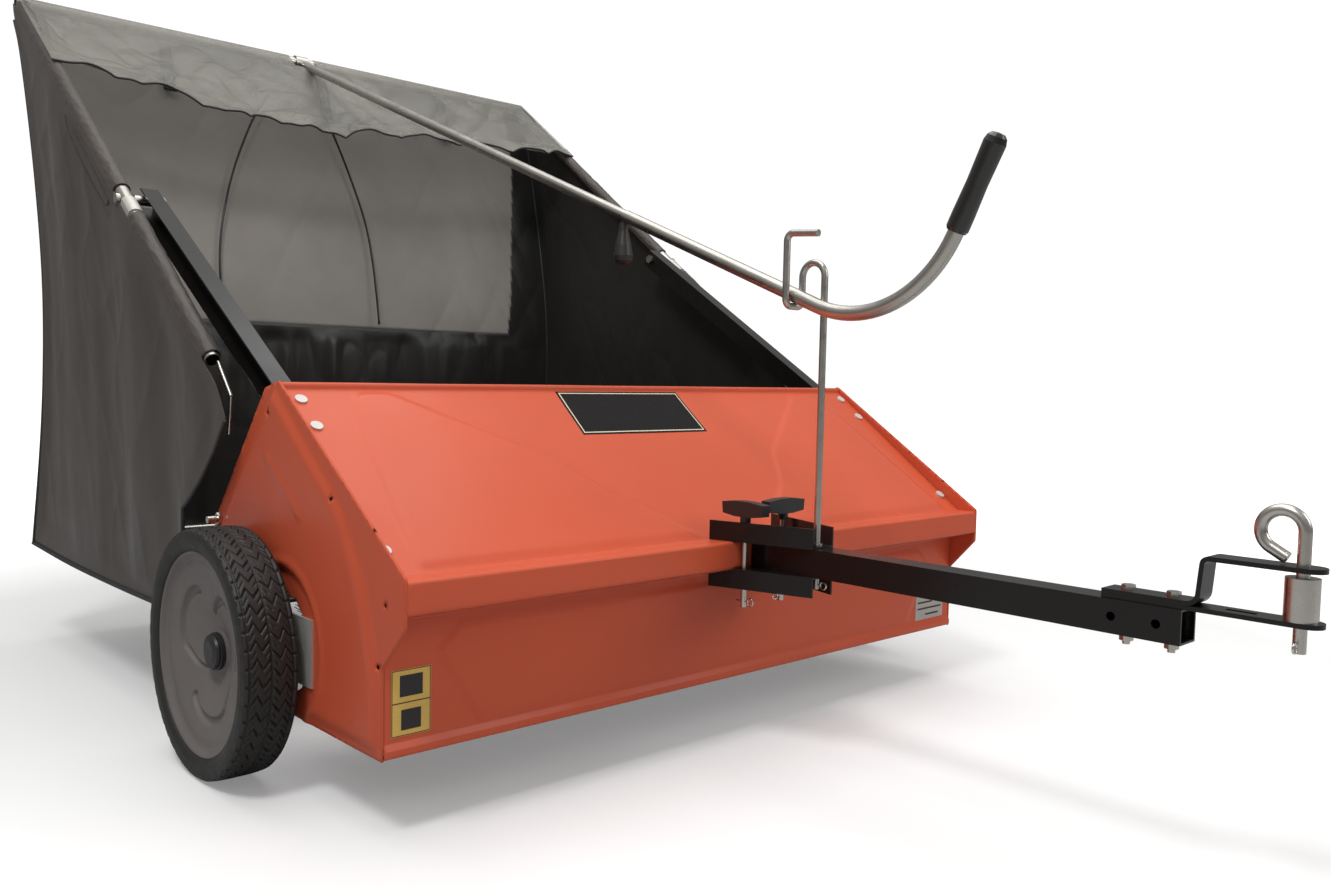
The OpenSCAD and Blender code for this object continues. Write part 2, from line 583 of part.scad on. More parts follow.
module dump_tube_front() color(zinc) placed() {
    bore_r = dump_r - tube_step + fit_gap;
    difference() {
        rod_yz(dump_x, dump_at(dump_joint), dump_at(dump_reach - weld_gap), dump_r);
        rod_yz(dump_x, dump_at(dump_joint - 1), dump_at(dump_joint + 64), bore_r);
    }
    dump_bend(dump_r);
}
grip_len = 122;
grip_r = 14;
module dump_grip() color(black) placed() {
    foot = bend_c - bend_r * left_of(-rise);
    translate([dump_x, foot[0], foot[1]]) rotate([-atan2(rise[0], rise[1]), 0, 0]) rotate_extrude()
        polygon([[0, 0], [grip_r - 2, 0], [grip_r, 4], [grip_r, 20], [grip_r - 1, 60],
            [grip_r, grip_len - 12], [grip_r - 2, grip_len - 5], [grip_r - 6, grip_len - 1], [0, grip_len]]);
}
// A tapered knob hung under the tube joint, screwed on its bolt
module tube_joint_knob() color(black) placed() {
    c = dump_at(dump_joint - 8);
    translate([dump_x, c[0], c[1] - 78]) rotate_extrude() polygon([[0, 0], [9, 1], [14, 6], [15.5, 14],
        [13, 30], [8, 52], [6.5, 66], [0, 66]]);
}

hood_panel();
side_plate_left();
side_plate_right();
rear_tie_rod();
badge_plate();
front_label();
hood_screws();
arm_left();
arm_right();
pivot_bolts();
axles();
bearing_carriers();
drawbar();
clamp_upper();
clamp_lower();
support_rod();
support_rod_clip();
hitch_strap_lower();
hitch_strap_upper();
hitch_bolts();
hitch_nuts();
hitch_spacers();
hitch_pin();
hitch_clip();
knob_left_grip();
knob_left_bolt();
knob_left_clip();
knob_right_grip();
knob_right_bolt();
knob_right_clip();
tyre_left();
wheel_disc_left();
wheel_bush_left();
hub_cap_left();
tyre_right();
wheel_disc_right();
wheel_bush_right();
hub_cap_right();
brush_shaft();
brush_core();
brush_strips();
pinions();
hopper_tube_left();
hopper_tube_right();
hopper_top_bar();
hopper_rods();
pivot_clamps();
bag_hooks();
bag_stays();
bag_side_left();
bag_side_right();
bag_back_mesh();
bag_back_cloth();
bag_floor();
bag_flap();
dump_tube_rear();
dump_tube_front();
dump_grip();
tube_joint_knob();
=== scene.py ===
"""Looks for a tow-behind lawn sweeper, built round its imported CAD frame.

Points are written in millimetres as [x, y, z], with y measured from the housing's front lip and z from the
ground, as the CAD source has them. place() turns them into the frame's metres.
"""

import math

import bpy
import numpy as np
from mathutils import Matrix, Vector
from mathutils.geometry import delaunay_2d_cdt


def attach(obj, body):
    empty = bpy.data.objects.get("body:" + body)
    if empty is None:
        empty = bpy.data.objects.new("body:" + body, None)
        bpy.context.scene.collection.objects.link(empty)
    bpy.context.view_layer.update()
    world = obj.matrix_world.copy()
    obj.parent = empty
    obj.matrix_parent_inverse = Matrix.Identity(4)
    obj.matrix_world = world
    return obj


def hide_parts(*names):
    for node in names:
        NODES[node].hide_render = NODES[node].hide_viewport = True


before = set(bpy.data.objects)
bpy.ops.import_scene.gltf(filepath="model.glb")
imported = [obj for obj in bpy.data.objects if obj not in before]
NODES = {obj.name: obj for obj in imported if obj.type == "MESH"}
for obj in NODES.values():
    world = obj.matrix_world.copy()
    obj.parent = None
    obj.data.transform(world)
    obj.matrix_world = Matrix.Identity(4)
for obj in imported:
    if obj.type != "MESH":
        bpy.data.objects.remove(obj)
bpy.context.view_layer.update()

MID_Y = 310.5
HALF_W = 575.0
HOPPER_SLOPE = math.radians(36)
ALONG = np.array([math.cos(HOPPER_SLOPE), math.sin(HOPPER_SLOPE)])
ACROSS = np.array([-ALONG[1], ALONG[0]])
PIVOT = np.array([790.0, 800.0])
TOP_BAR = np.array([1390.0, 800 + 600 * math.tan(HOPPER_SLOPE)])
TUBE_FOOT = PIVOT - 350 / math.cos(HOPPER_SLOPE) * ALONG
TUBE_X = 592.0
TUBE_R = 11.0
WHEEL = np.array([335.0, 164.0])
BRUSH = WHEEL + 92 * np.array([math.cos(math.radians(167.5)), math.sin(math.radians(167.5))])


# ---------- numbers and points ----------
def place(points):
    """Millimetres from the housing's lip to metres in the frame."""
    p = np.array(points, float)
    p[..., 1] -= MID_Y
    return p / 1000


def smooth(low, high, t):
    t = np.clip((t - low) / (high - low), 0, 1)
    return t * t * (3 - 2 * t)


def cloud(u, v, seed):
    """Smooth noise from -1 to 1, with a period of 64 in each coordinate."""
    table = np.random.default_rng(seed).uniform(-1, 1, (64, 64))
    u, v = np.broadcast_arrays(np.asarray(u, float), np.asarray(v, float))
    i, j = np.floor(u).astype(int), np.floor(v).astype(int)
    fu, fv = smooth(0, 1, u - i), smooth(0, 1, v - j)
    low = table[i % 64, j % 64] * (1 - fu) + table[(i + 1) % 64, j % 64] * fu
    high = table[i % 64, (j + 1) % 64] * (1 - fu) + table[(i + 1) % 64, (j + 1) % 64] * fu
    return low * (1 - fv) + high * fv


def creases(u, v, seed):
    """Noise that folds into sharp ridges, from 0 to 1."""
    return (1 - np.abs(cloud(u, v, seed))) ** 3


def fillet(points, radius, steps=5):
    """A polyline with each inner corner rounded."""
    p = [np.array(q, float) for q in points]
    out = [p[0]]
    for a, b, c in zip(p, p[1:], p[2:]):
        u, v = (a - b) / np.linalg.norm(a - b), (c - b) / np.linalg.norm(c - b)
        half = math.acos(np.clip(u @ v, -1, 1)) / 2
        reach = min(radius / math.tan(half), 0.45 * np.linalg.norm(a - b), 0.45 * np.linalg.norm(c - b))
        for t in np.linspace(0, 1, steps + 1):
            out.append((1 - t) ** 2 * (b + u * reach) + 2 * t * (1 - t) * b + t * t * (b + v * reach))
    return np.array(out + [p[-1]])


def resample(points, count):
    """count points evenly spread along a polyline."""
    p = np.asarray(points, float)
    run = np.concatenate([[0], np.cumsum(np.linalg.norm(np.diff(p, axis=0), axis=1))])
    t = np.linspace(0, run[-1], count)
    return np.stack([np.interp(t, run, p[:, k]) for k in range(p.shape[1])], axis=1)


def curve(points, count):
    """A smooth curve through points, as count evenly spread points."""
    p = np.asarray(points, float)
    ends = np.concatenate([[2 * p[0] - p[1]], p, [2 * p[-1] - p[-2]]])
    fine = []
    for a, b, c, d in zip(ends, ends[1:], ends[2:], ends[3:]):
        for t in np.linspace(0, 1, 16, endpoint=False):
            fine.append(0.5 * (2 * b + (c - a) * t + (2 * a - 5 * b + 4 * c - d) * t**2
                + (3 * b - a - 3 * c + d) * t**3))
    return resample(np.array(fine + [p[-1]]), count)


def signed_distance(x, y, polygon):
    """Distance to a closed outline, positive inside."""
    p = np.asarray(polygon, float)
    best, inside = np.full(x.shape, 1e9), np.zeros(x.shape, bool)
    for (ax, ay), (bx, by) in zip(p, np.roll(p, -1, axis=0)):
        t = np.clip(((x - ax) * (bx - ax) + (y - ay) * (by - ay)) / ((bx - ax) ** 2 + (by - ay) ** 2), 0, 1)
        best = np.minimum(best, np.hypot(x - ax - t * (bx - ax), y - ay - t * (by - ay)))
        if by != ay:
            inside ^= ((ay > y) != (by > y)) & (x < (bx - ax) * (y - ay) / (by - ay) + ax)
    return np.where(inside, best, -best)


# ---------- materials ----------
class Look:
    """A Principled material, with short calls for adding procedural nodes."""

    def __init__(self, name, color, roughness, metallic=0.0, **sockets):
        self.material = bpy.data.materials.new(name)
        self.material.use_nodes = True
        self.nodes, self.links = self.material.node_tree.nodes, self.material.node_tree.links
        self.shader = self.nodes["Principled BSDF"]
        self.shader.inputs["Base Color"].default_value = (*color, 1)
        self.shader.inputs["Roughness"].default_value = roughness
        self.shader.inputs["Metallic"].default_value = metallic
        for key, value in sockets.items():
            self.shader.inputs[key.replace("_", " ")].default_value = value
        self.color, self.roughness = color, roughness
        self.where = self.nodes.new("ShaderNodeTexCoord").outputs["Object"]
        self.last_bump = None

    def node(self, kind, inputs=(), **settings):
        made = self.nodes.new(kind)
        for key, value in settings.items():
            setattr(made, key, value)
        for key, value in dict(inputs).items():
            if isinstance(value, bpy.types.NodeSocket):
                self.links.new(value, made.inputs[key])
            else:
                made.inputs[key].default_value = value
        return made

    def noise(self, scale, detail=3.0, stretch=(1, 1, 1), rough=0.5, turn=(0, 0, 0)):
        mapping = self.node("ShaderNodeMapping", {"Vector": self.where, "Scale": stretch, "Rotation": turn})
        return self.node("ShaderNodeTexNoise", {"Vector": mapping.outputs[0], "Scale": scale,
            "Detail": detail, "Roughness": rough}).outputs["Fac"]

    def wave(self, scale, direction, distortion=0.0, stretch=(1, 1, 1)):
        mapping = self.node("ShaderNodeMapping", {"Vector": self.where, "Scale": stretch})
        return self.node("ShaderNodeTexWave", {"Vector": mapping.outputs[0], "Scale": scale, "Distortion": distortion,
            "Detail": 1.0}, bands_direction=direction).outputs["Fac"]

    def ramp(self, fac, low, high, low_value, high_value):
        return self.node("ShaderNodeMapRange", {"Value": fac, "From Min": low, "From Max": high,
            "To Min": low_value, "To Max": high_value}).outputs[0]

    def math(self, operation, a, b):
        return self.node("ShaderNodeMath", {0: a, 1: b}, operation=operation).outputs[0]

    def tint(self, fac, low, high, light, dark):
        """Mixes two shades of the colour by a noise."""
        mix = self.node("ShaderNodeMix", {0: self.ramp(fac, low, high, 0.0, 1.0)}, data_type="RGBA")
        a, b = [s for s in mix.inputs if s.type == "RGBA"][:2]
        a.default_value, b.default_value = (*dark, 1), (*light, 1)
        result = [s for s in mix.outputs if s.type == "RGBA"][0]
        self.links.new(result, self.shader.inputs["Base Color"])
        return result

    def over(self, base, fac, color):
        """Lays a colour over another where fac is 1."""
        mix = self.node("ShaderNodeMix", {0: fac}, data_type="RGBA")
        a, b = [s for s in mix.inputs if s.type == "RGBA"][:2]
        self.links.new(base, a)
        b.default_value = (*color, 1)
        result = [s for s in mix.outputs if s.type == "RGBA"][0]
        self.links.new(result, self.shader.inputs["Base Color"])
        return result

    def vary_roughness(self, fac, low, high):
        self.links.new(self.ramp(fac, 0.3, 0.7, low, high), self.shader.inputs["Roughness"])

    def bump(self, height, distance, strength=1.0):
        inputs = {"Height": height, "Distance": distance, "Strength": strength}
        if self.last_bump is not None:
            inputs["Normal"] = self.last_bump
        self.last_bump = self.node("ShaderNodeBump", inputs).outputs[0]
        self.links.new(self.last_bump, self.shader.inputs["Normal"])


def shade(color, factor):
    return tuple(c * factor for c in color)


def painted(name, color, roughness, coat, peel=0.00012):
    """Powder coat: fine orange peel, faint drifts of shade and dust."""
    look = Look(name, color, roughness, Coat_Weight=coat, Coat_Roughness=0.12)
    drift = look.noise(2.3, 4)
    dust = look.noise(60, 5, rough=0.7)
    base = look.tint(drift, 0.3, 0.7, shade(color, 1.05), shade(color, 0.94))
    look.over(base, look.ramp(dust, 0.62, 0.8, 0.0, 0.18), shade(color, 0.75))
    look.vary_roughness(look.noise(7, 4), roughness * 0.8, roughness * 1.3)
    look.bump(look.noise(420, 2), peel, 0.5)
    return look


def metal(name, color, roughness, streak=(1, 1, 1), spangle=0.0):
    """Plated steel: drawn streaks, faint spangle and stains."""
    look = Look(name, color, roughness, 1.0)
    stain = look.noise(14, 5, rough=0.65)
    base = look.tint(stain, 0.3, 0.7, shade(color, 1.05), shade(color, 0.88))
    grime = look.noise(45, 6, rough=0.75)
    look.over(base, look.ramp(grime, 0.62, 0.8, 0.0, 0.18), shade(color, 0.5))
    look.vary_roughness(look.noise(60, 3, stretch=streak), roughness * 0.85, roughness * 1.25)
    look.bump(look.noise(700, 2, stretch=streak), 0.00002 + spangle, 0.4)
    return look


def moulded(name, color, roughness, grain=0.00015, **sockets):
    """Moulded plastic or rubber: fine spark grain and scuffs."""
    look = Look(name, color, roughness, **sockets)
    scuff = look.noise(28, 5, rough=0.7)
    base = look.tint(look.noise(6, 3), 0.3, 0.7, shade(color, 1.1), shade(color, 0.88))
    look.over(base, look.ramp(scuff, 0.6, 0.8, 0.0, 0.25), tuple(min(1.0, c * 1.7 + 0.015) for c in color))
    look.vary_roughness(scuff, roughness * 0.85, min(1.0, roughness * 1.2))
    look.bump(look.noise(1300, 2), grain, 0.35)
    return look


def woven(name, color, roughness, pitch, axes, depth, dust, sheen=0.15, alpha=1.0, crush=0.0003):
    """Woven cloth: two crossing sets of threads, creases and settled dust."""
    look = Look(name, color, roughness, Sheen_Weight=sheen, Sheen_Roughness=0.4, Alpha=alpha)
    scale = 1 / pitch / 3.3
    threads = look.math("MAXIMUM", look.wave(scale, axes[0]), look.wave(scale, axes[1]))
    drift = look.noise(3.1, 5, rough=0.6)
    base = look.tint(drift, 0.3, 0.72, shade(color, 1.16), shade(color, 0.82))
    look.over(base, look.ramp(look.noise(24, 6, rough=0.7), 0.55, 0.8, 0.0, dust), (0.20, 0.185, 0.165))
    look.vary_roughness(look.noise(9, 4), roughness * 0.88, min(1.0, roughness * 1.15))
    look.bump(look.noise(34, 3, stretch=(1, 1, 0.6), rough=0.5), crush, 0.6)
    look.bump(threads, depth, 0.5)
    return look


ORANGE = (0.60, 0.098, 0.043)
orange = painted("housing_paint", ORANGE, 0.36, 0.10)
orange.shader.inputs["Specular IOR Level"].default_value = 0.22
black = painted("black_paint", (0.008, 0.007, 0.0065), 0.26, 0.12)
black.shader.inputs["Specular IOR Level"].default_value = 0.28
zinc = metal("zinc_plate", (0.60, 0.575, 0.53), 0.28, (1, 1, 1))
tube_zinc = metal("tube_zinc", (0.50, 0.48, 0.44), 0.30)
galvanised = metal("galvanised_sheet", (0.56, 0.55, 0.51), 0.40, (1, 1, 1), 0.00008)
galvanised.shader.inputs["Metallic"].default_value = 0.45
spring = metal("spring_wire", (0.66, 0.65, 0.62), 0.20)
screw_white = painted("screw_heads", (0.60, 0.57, 0.54), 0.32, 0.2)
knob_black = moulded("knob_plastic", (0.018, 0.017, 0.017), 0.42)
rubber = moulded("tyre_rubber", (0.016, 0.0145, 0.0135), 0.55, 0.0003)
disc_grey = moulded("wheel_plastic", (0.150, 0.134, 0.128), 0.48, 0.0002)
nylon = moulded("nylon_bush", (0.62, 0.60, 0.52), 0.5)
gear_steel = metal("gear_steel", (0.42, 0.41, 0.39), 0.42)
bristle_black = moulded("bristle_plastic", (0.020, 0.018, 0.017), 0.48)
grip_black = moulded("grip_vinyl", (0.014, 0.013, 0.012), 0.22, 0.0001, Coat_Weight=0.4, Coat_Roughness=0.1)
side_cloth = woven("side_cloth", (0.054, 0.0435, 0.0365), 0.50, 0.0011, ("Y", "Z"), 0.00010, 0.05, 0.08)
# Inside face of the side panels: the side cloth in a darker colour, painted shade for the inside of the bag.
shaded_inner_cloth = woven("bag_inner_cloth_painted_shade", (0.016, 0.0148, 0.0138), 0.42, 0.0011, ("Y", "Z"), 0.00010, 0.03, 0.1)
# The back panel's cloth, darker than the side cloth: painted shade for its inner face seen inside the bag.
back_cloth = woven("back_cloth", (0.017, 0.0155, 0.0145), 0.34, 0.0011, ("X", "Z"), 0.00010, 0.04, 0.2)
floor_cloth = woven("floor_cloth", (0.026, 0.024, 0.022), 0.6, 0.0011, ("X", "Y"), 0.00012, 0.14)
back_net = woven("back_net", (0.250, 0.226, 0.196), 0.62, 0.0016, ("X", "Z"), 0.00030, 0.10, 0.30, 0.82, 0.0003)
flap_net = woven("flap_net", (0.250, 0.240, 0.205), 0.24, 0.0016, ("X", "Y"), 0.00030, 0.12, 0.30, 0.42, 0.0016)
webbing = woven("webbing", (0.016, 0.015, 0.014), 0.6, 0.0018, ("X", "Z"), 0.0004, 0.05)
piping_cloth = moulded("piping", (0.022, 0.020, 0.019), 0.5, 0.0004)
fibre = moulded("stay_rod", (0.016, 0.015, 0.014), 0.3)


def film(name, ground):
    """Printed film, with faint drifts of shade."""
    look = Look(name, ground, 0.34, Coat_Weight=0.1, Coat_Roughness=0.15)
    look.shader.inputs["Specular IOR Level"].default_value = 0.3
    look.tint(look.noise(30, 4), 0.3, 0.7, shade(ground, 1.04), shade(ground, 0.92))
    look.vary_roughness(look.noise(80, 4), 0.26, 0.44)
    look.bump(look.noise(500, 2), 0.00008, 0.3)
    return look


label_yellow = film("label_film", (0.66, 0.43, 0.10))
label_black = film("label_print", (0.020, 0.018, 0.018))
label_silver = film("sticker_film", (0.46, 0.43, 0.39))
badge_film = film("badge_film", (0.008, 0.007, 0.007))
badge_film.shader.inputs["Specular IOR Level"].default_value = 0.10
badge_film.shader.inputs["Coat Weight"].default_value = 0.0
badge_line = film("badge_line", (0.66, 0.60, 0.47))


# ---------- mesh pieces ----------
def piece(name, points, faces, look, body, slot, replaces=(), flat=False):
    mesh = bpy.data.meshes.new(name)
    mesh.from_pydata(place(points).reshape(-1, 3).tolist(), [], faces)
    mesh.update()
    mesh.polygons.foreach_set("use_smooth", [not flat] * len(mesh.polygons))
    mesh.materials.append(look.material)
    obj = bpy.data.objects.new(name, mesh)
    bpy.context.scene.collection.objects.link(obj)
    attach(obj, body)
    if replaces:
        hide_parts(*replaces)
    return obj


def grid_faces(rows, cols, wrap_rows=False, wrap_cols=False, keep=None, first=0):
    """Quads over a grid of points stored row by row."""
    faces = []
    for i in range(rows if wrap_rows else rows - 1):
        for j in range(cols if wrap_cols else cols - 1):
            if keep is None or keep[i, j]:
                a, b = (i + 1) % rows, (j + 1) % cols
                faces.append((first + i * cols + j, first + a * cols + j, first + a * cols + b, first + i * cols + b))
    return faces


def thicken(obj, thickness, offset=-1.0):
    made = obj.modifiers.new("thickness", "SOLIDIFY")
    made.thickness, made.offset = thickness, offset
    return obj


def soften(obj, width, segments=2):
    """Rounds the sharp edges of a piece."""
    made = obj.modifiers.new("edges", "BEVEL")
    made.width, made.segments, made.limit_method, made.angle_limit = width, segments, "ANGLE", math.radians(35)
    made.harden_normals = False
    return obj


def frames_along(path):
    """Unit tangents and two unit normals along a path, without twist."""
    t = np.gradient(path, axis=0)
    t /= np.linalg.norm(t, axis=1)[:, None]
    seed = np.array([1.0, 0, 0]) if abs(t[0][0]) < 0.9 else np.array([0, 0, 1.0])
    normals, n = [], seed - (seed @ t[0]) * t[0]
    for k in t:
        n = n - (n @ k) * k
        n /= np.linalg.norm(n)
        normals.append(n.copy())
    normals = np.array(normals)
    return t, normals, np.cross(t, normals)


def tube(path, radius, sides=12, flatten=1.0):
    """Points and faces of a capped tube along a path; radius may change along it."""
    path = np.asarray(path, float)
    _, n, b = frames_along(path)
    r = np.broadcast_to(np.asarray(radius, float), (len(path),))[:, None, None]
    a = np.linspace(0, 2 * math.pi, sides, endpoint=False)
    ring = path[:, None] + r * (np.cos(a)[None, :, None] * n[:, None] + flatten * np.sin(a)[None, :, None] * b[:, None])
    faces = grid_faces(len(path), sides, wrap_cols=True)
    faces += [tuple(range(sides)), tuple(range(len(path) * sides - 1, (len(path) - 1) * sides - 1, -1))]
    return ring.reshape(-1, 3), faces


def joined(parts):
    """Several (points, faces) as one."""
    points, faces, start = [], [], 0
    for p, f in parts:
        points.append(np.asarray(p, float).reshape(-1, 3))
        faces += [tuple(i + start for i in q) for q in f]
        start += len(points[-1])
    return np.concatenate(points), faces


def revolve(profile, centre, count, closed=True):
    """Spins [radius, x] points about a line along X through centre."""
    profile = np.asarray(profile, float)
    a = np.linspace(0, 2 * math.pi, count, endpoint=False)
    points = np.stack([np.broadcast_to(profile[None, :, 1], (count, len(profile))),
        centre[0] + profile[None, :, 0] * np.cos(a)[:, None],
        centre[1] + profile[None, :, 0] * np.sin(a)[:, None]], axis=2)
    return points, grid_faces(count, len(profile), wrap_rows=True, wrap_cols=closed)


def dress(names, look, bevel=0.0):
    """Gives CAD nodes a material, and a small round on their edges."""
    for name in names:
        obj = NODES[name]
        obj.data.materials.clear()
        obj.data.materials.append(look.material)
        if bevel:
            soften(obj, bevel / 1000)


# ---------- camera, light and floor ----------
def make_camera():
    yaw, pitch, roll = (math.radians(a) for a in (43.18, 3.59, 1.23))
    ahead = Vector((math.sin(yaw) * math.cos(pitch), math.cos(yaw) * math.cos(pitch), -math.sin(pitch)))
    right = Vector((math.cos(yaw), -math.sin(yaw), 0))
    up = right.cross(ahead)
    tilted_right = math.cos(roll) * right + math.sin(roll) * up
    tilted_up = -math.sin(roll) * right + math.cos(roll) * up
    camera = bpy.data.objects.new("camera", bpy.data.cameras.new("camera"))
    bpy.context.scene.collection.objects.link(camera)
    camera.data.sensor_width = 36
    camera.data.lens = 30.53
    camera.data.clip_start, camera.data.clip_end = 0.02, 200
    turn = Matrix((tilted_right, tilted_up, -ahead)).transposed()
    camera.matrix_world = Matrix.Translation((-1.2044, -1.4416, 0.5405)) @ turn.to_4x4()
    bpy.context.scene.camera = camera


def area_light(name, where, aim, size, power, color=(1, 1, 1)):
    light = bpy.data.lights.new(name, "AREA")
    light.shape, light.size, light.size_y, light.energy, light.color = "RECTANGLE", size[0], size[1], power, color
    obj = bpy.data.objects.new(name, light)
    obj.location = where
    obj.rotation_euler = (Vector(aim) - Vector(where)).to_track_quat("-Z", "Y").to_euler()
    bpy.context.scene.collection.objects.link(obj)
    return obj


def make_studio():
    world = bpy.data.worlds.new("studio")
    bpy.context.scene.world = world
    world.use_nodes = True
    nodes, links = world.node_tree.nodes, world.node_tree.links
    up = nodes.new("ShaderNodeSeparateXYZ")
    links.new(nodes.new("ShaderNodeTexCoord").outputs["Generated"], up.inputs[0])
    sky = nodes.new("ShaderNodeMapRange")
    for socket, value in (("From Min", -0.05), ("From Max", 0.75), ("To Min", 0.10), ("To Max", 0.52)):
        sky.inputs[socket].default_value = value
    links.new(up.outputs["Z"], sky.inputs["Value"])
    links.new(sky.outputs[0], nodes["Background"].inputs["Strength"])
    nodes["Background"].inputs["Color"].default_value = (1.0, 0.99, 0.975, 1)
    seen = nodes.new("ShaderNodeBackground")
    seen.inputs["Color"].default_value = (1, 1, 1, 1)
    seen.inputs["Strength"].default_value = 1.05
    mix, path = nodes.new("ShaderNodeMixShader"), nodes.new("ShaderNodeLightPath")
    links.new(path.outputs["Is Camera Ray"], mix.inputs[0])
    links.new(nodes["Background"].outputs[0], mix.inputs[1])
    links.new(seen.outputs[0], mix.inputs[2])
    links.new(mix.outputs[0], nodes["World Output"].inputs[0])
    area_light("overhead", (0.1, 0.2, 3.7), (0.1, 0.1, 0), (3.2, 3.4), 66)
    area_light("key", (-2.1, -1.1, 3.6), (0, -0.1, 0.2), (0.8, 0.8), 60)
    area_light("front_right", (2.2, -3.6, 2.4), (0, 0, 0.5), (2.2, 2.2), 42)

    floor_look = Look("floor_paper", (0.74, 0.74, 0.74), 0.8)
    base = floor_look.tint(floor_look.noise(1.5, 3), 0.3, 0.7, (0.75, 0.75, 0.75), (0.73, 0.73, 0.73))
    # To every ray but the camera's the floor is a darker grey (0.48), so it sends less bounce light onto the machine
    # than it shows.
    seen_part = floor_look.node("ShaderNodeLightPath").outputs["Is Camera Ray"]
    floor_look.over(base, floor_look.math("SUBTRACT", 1.0, seen_part), (0.48, 0.48, 0.48))
    # The floor glows for camera rays only: painted light that lifts its shadows near the machine (0.22) and fades it to
    # white further out (1.0).
    reach = floor_look.node("ShaderNodeVectorMath", {0: floor_look.where}, operation="LENGTH").outputs["Value"]
    painted_floor_glow = floor_look.math("MULTIPLY", floor_look.ramp(reach, 1.5, 3.2, 0.22, 1.0), seen_part)
    floor_look.links.new(painted_floor_glow, floor_look.shader.inputs["Emission Strength"])
    floor_look.shader.inputs["Emission Color"].default_value = (1, 1, 1, 1)
    mesh = bpy.data.meshes.new("floor")
    mesh.from_pydata([(-30, -30, -0.0005), (30, -30, -0.0005), (30, 30, -0.0005), (-30, 30, -0.0005)], [],
        [(0, 1, 2, 3)])
    mesh.materials.append(floor_look.material)
    floor = bpy.data.objects.new("floor", mesh)
    bpy.context.scene.collection.objects.link(floor)
    bpy.context.scene.view_settings.view_transform = "Standard"


make_camera()
make_studio()

# ---------- housing ----------
HOOD_LINE = [[12, 94], [-4, 94], [-4, 104], [0, 112], [0, 255], [-51, 268.9], [-51, 307], [-14, 307],
    [264, 509], [264, 519], [286, 519]]
RAISED = [[-534, -30], [-531, 4], [-500, 190], [-479, 247], [-462, 262], [-430, 263], [-410, 250], [-225, 130],
    [-175, 66], [-120, 28], [-51, -30]]


LOWER_FACE = [[-430, 96], [-459, 144], [-501, 212], [-470, 240], [470, 240], [501, 212], [459, 144], [430, 96]]


def slope_relief(x, y):
    """How far the hood's slope stands out from its plane."""
    crown = 3.0 * np.cos(x / HALF_W * math.pi / 2) * smooth(-14, 120, y) * smooth(264, 150, y)
    raised = sum(3.2 * smooth(-5, 6, signed_distance(x * side, y, RAISED)) for side in (1, -1))
    return crown + raised * smooth(-14, 2, y) * smooth(262, 252, y)


def front_relief(x, z):
    """How far the panel under the ridge stands out from its plane."""
    return 2.2 * smooth(-5, 6, signed_distance(x, z, LOWER_FACE)) * smooth(112, 124, z) * smooth(252, 244, z)


def make_hood():
    line = fillet(HOOD_LINE, 4.5, 5)
    profile = []
    for a, b in zip(line, line[1:]):
        profile += list(np.linspace(a, b, max(1, int(np.linalg.norm(b - a) / 3.2)), endpoint=False))
    profile = np.array(profile + [line[-1]])
    step = np.gradient(profile, axis=0)
    step /= np.linalg.norm(step, axis=1)[:, None]
    out = np.stack([-step[:, 1], step[:, 0]], axis=1)
    x = np.linspace(-HALF_W + 2.5, HALF_W - 2.5, 420)
    gx, gy = np.meshgrid(x, profile[:, 0], indexing="ij")
    gz = np.broadcast_to(profile[:, 1], gx.shape)
    relief = np.where(gz > 306, slope_relief(gx, gy), np.where(gy < 1, front_relief(gx, gz), 0))
    relief = relief + 0.25 * cloud(gx / 160, gz / 120, 5)
    points = np.stack([gx, gy + relief * out[None, :, 0], gz + relief * out[None, :, 1]], axis=2)
    hood = piece("hood_sheet", points, grid_faces(*gx.shape), orange, "chassis", "orange_paint", ["hood_panel"])
    return thicken(hood, 0.002, -1.0)


def on_hood(x, run, lift):
    """Points on the hood's slope: run is measured up the slope from the badge's middle."""
    y = 220 + run * ALONG[0]
    stand = slope_relief(x, y) + lift
    return np.stack([x, y + stand * ACROSS[0], 307 + (y + 14) * math.tan(HOPPER_SLOPE) + stand * ACROSS[1]], axis=-1)


def on_front(x, z, lift):
    return np.stack([x, -front_relief(x, z) - lift, z], axis=-1)


def decal(name, corners, surface, lift, look, slot, replaces=()):
    """Film between four corners (low left, low right, high right, high left), laid on a surface."""
    a, b, c, d = np.array(corners, float)
    u, v = np.linspace(0, 1, 40)[:, None, None], np.linspace(0, 1, 24)[None, :, None]
    flat = (1 - v) * ((1 - u) * a + u * b) + v * ((1 - u) * d + u * c)
    points = surface(flat[..., 0], flat[..., 1], lift)
    return piece(name, points, grid_faces(40, 24), look, "chassis", slot, replaces)


def outline_decals(name, corners, surface, lift, inset, width, look, slot):
    """A thin line that follows the four edges of a film, inset from them."""
    p = np.array(corners, float)
    middle = p.mean(axis=0)
    half = np.abs(p - middle).mean(axis=0)
    outer, inner = middle + (p - middle) * (1 - inset / half), middle + (p - middle) * (1 - (inset + width) / half)
    for k in range(4):
        n = (k + 1) % 4
        decal(f"{name}_{k}", [outer[k], outer[n], inner[n], inner[k]], surface, lift, look, slot)


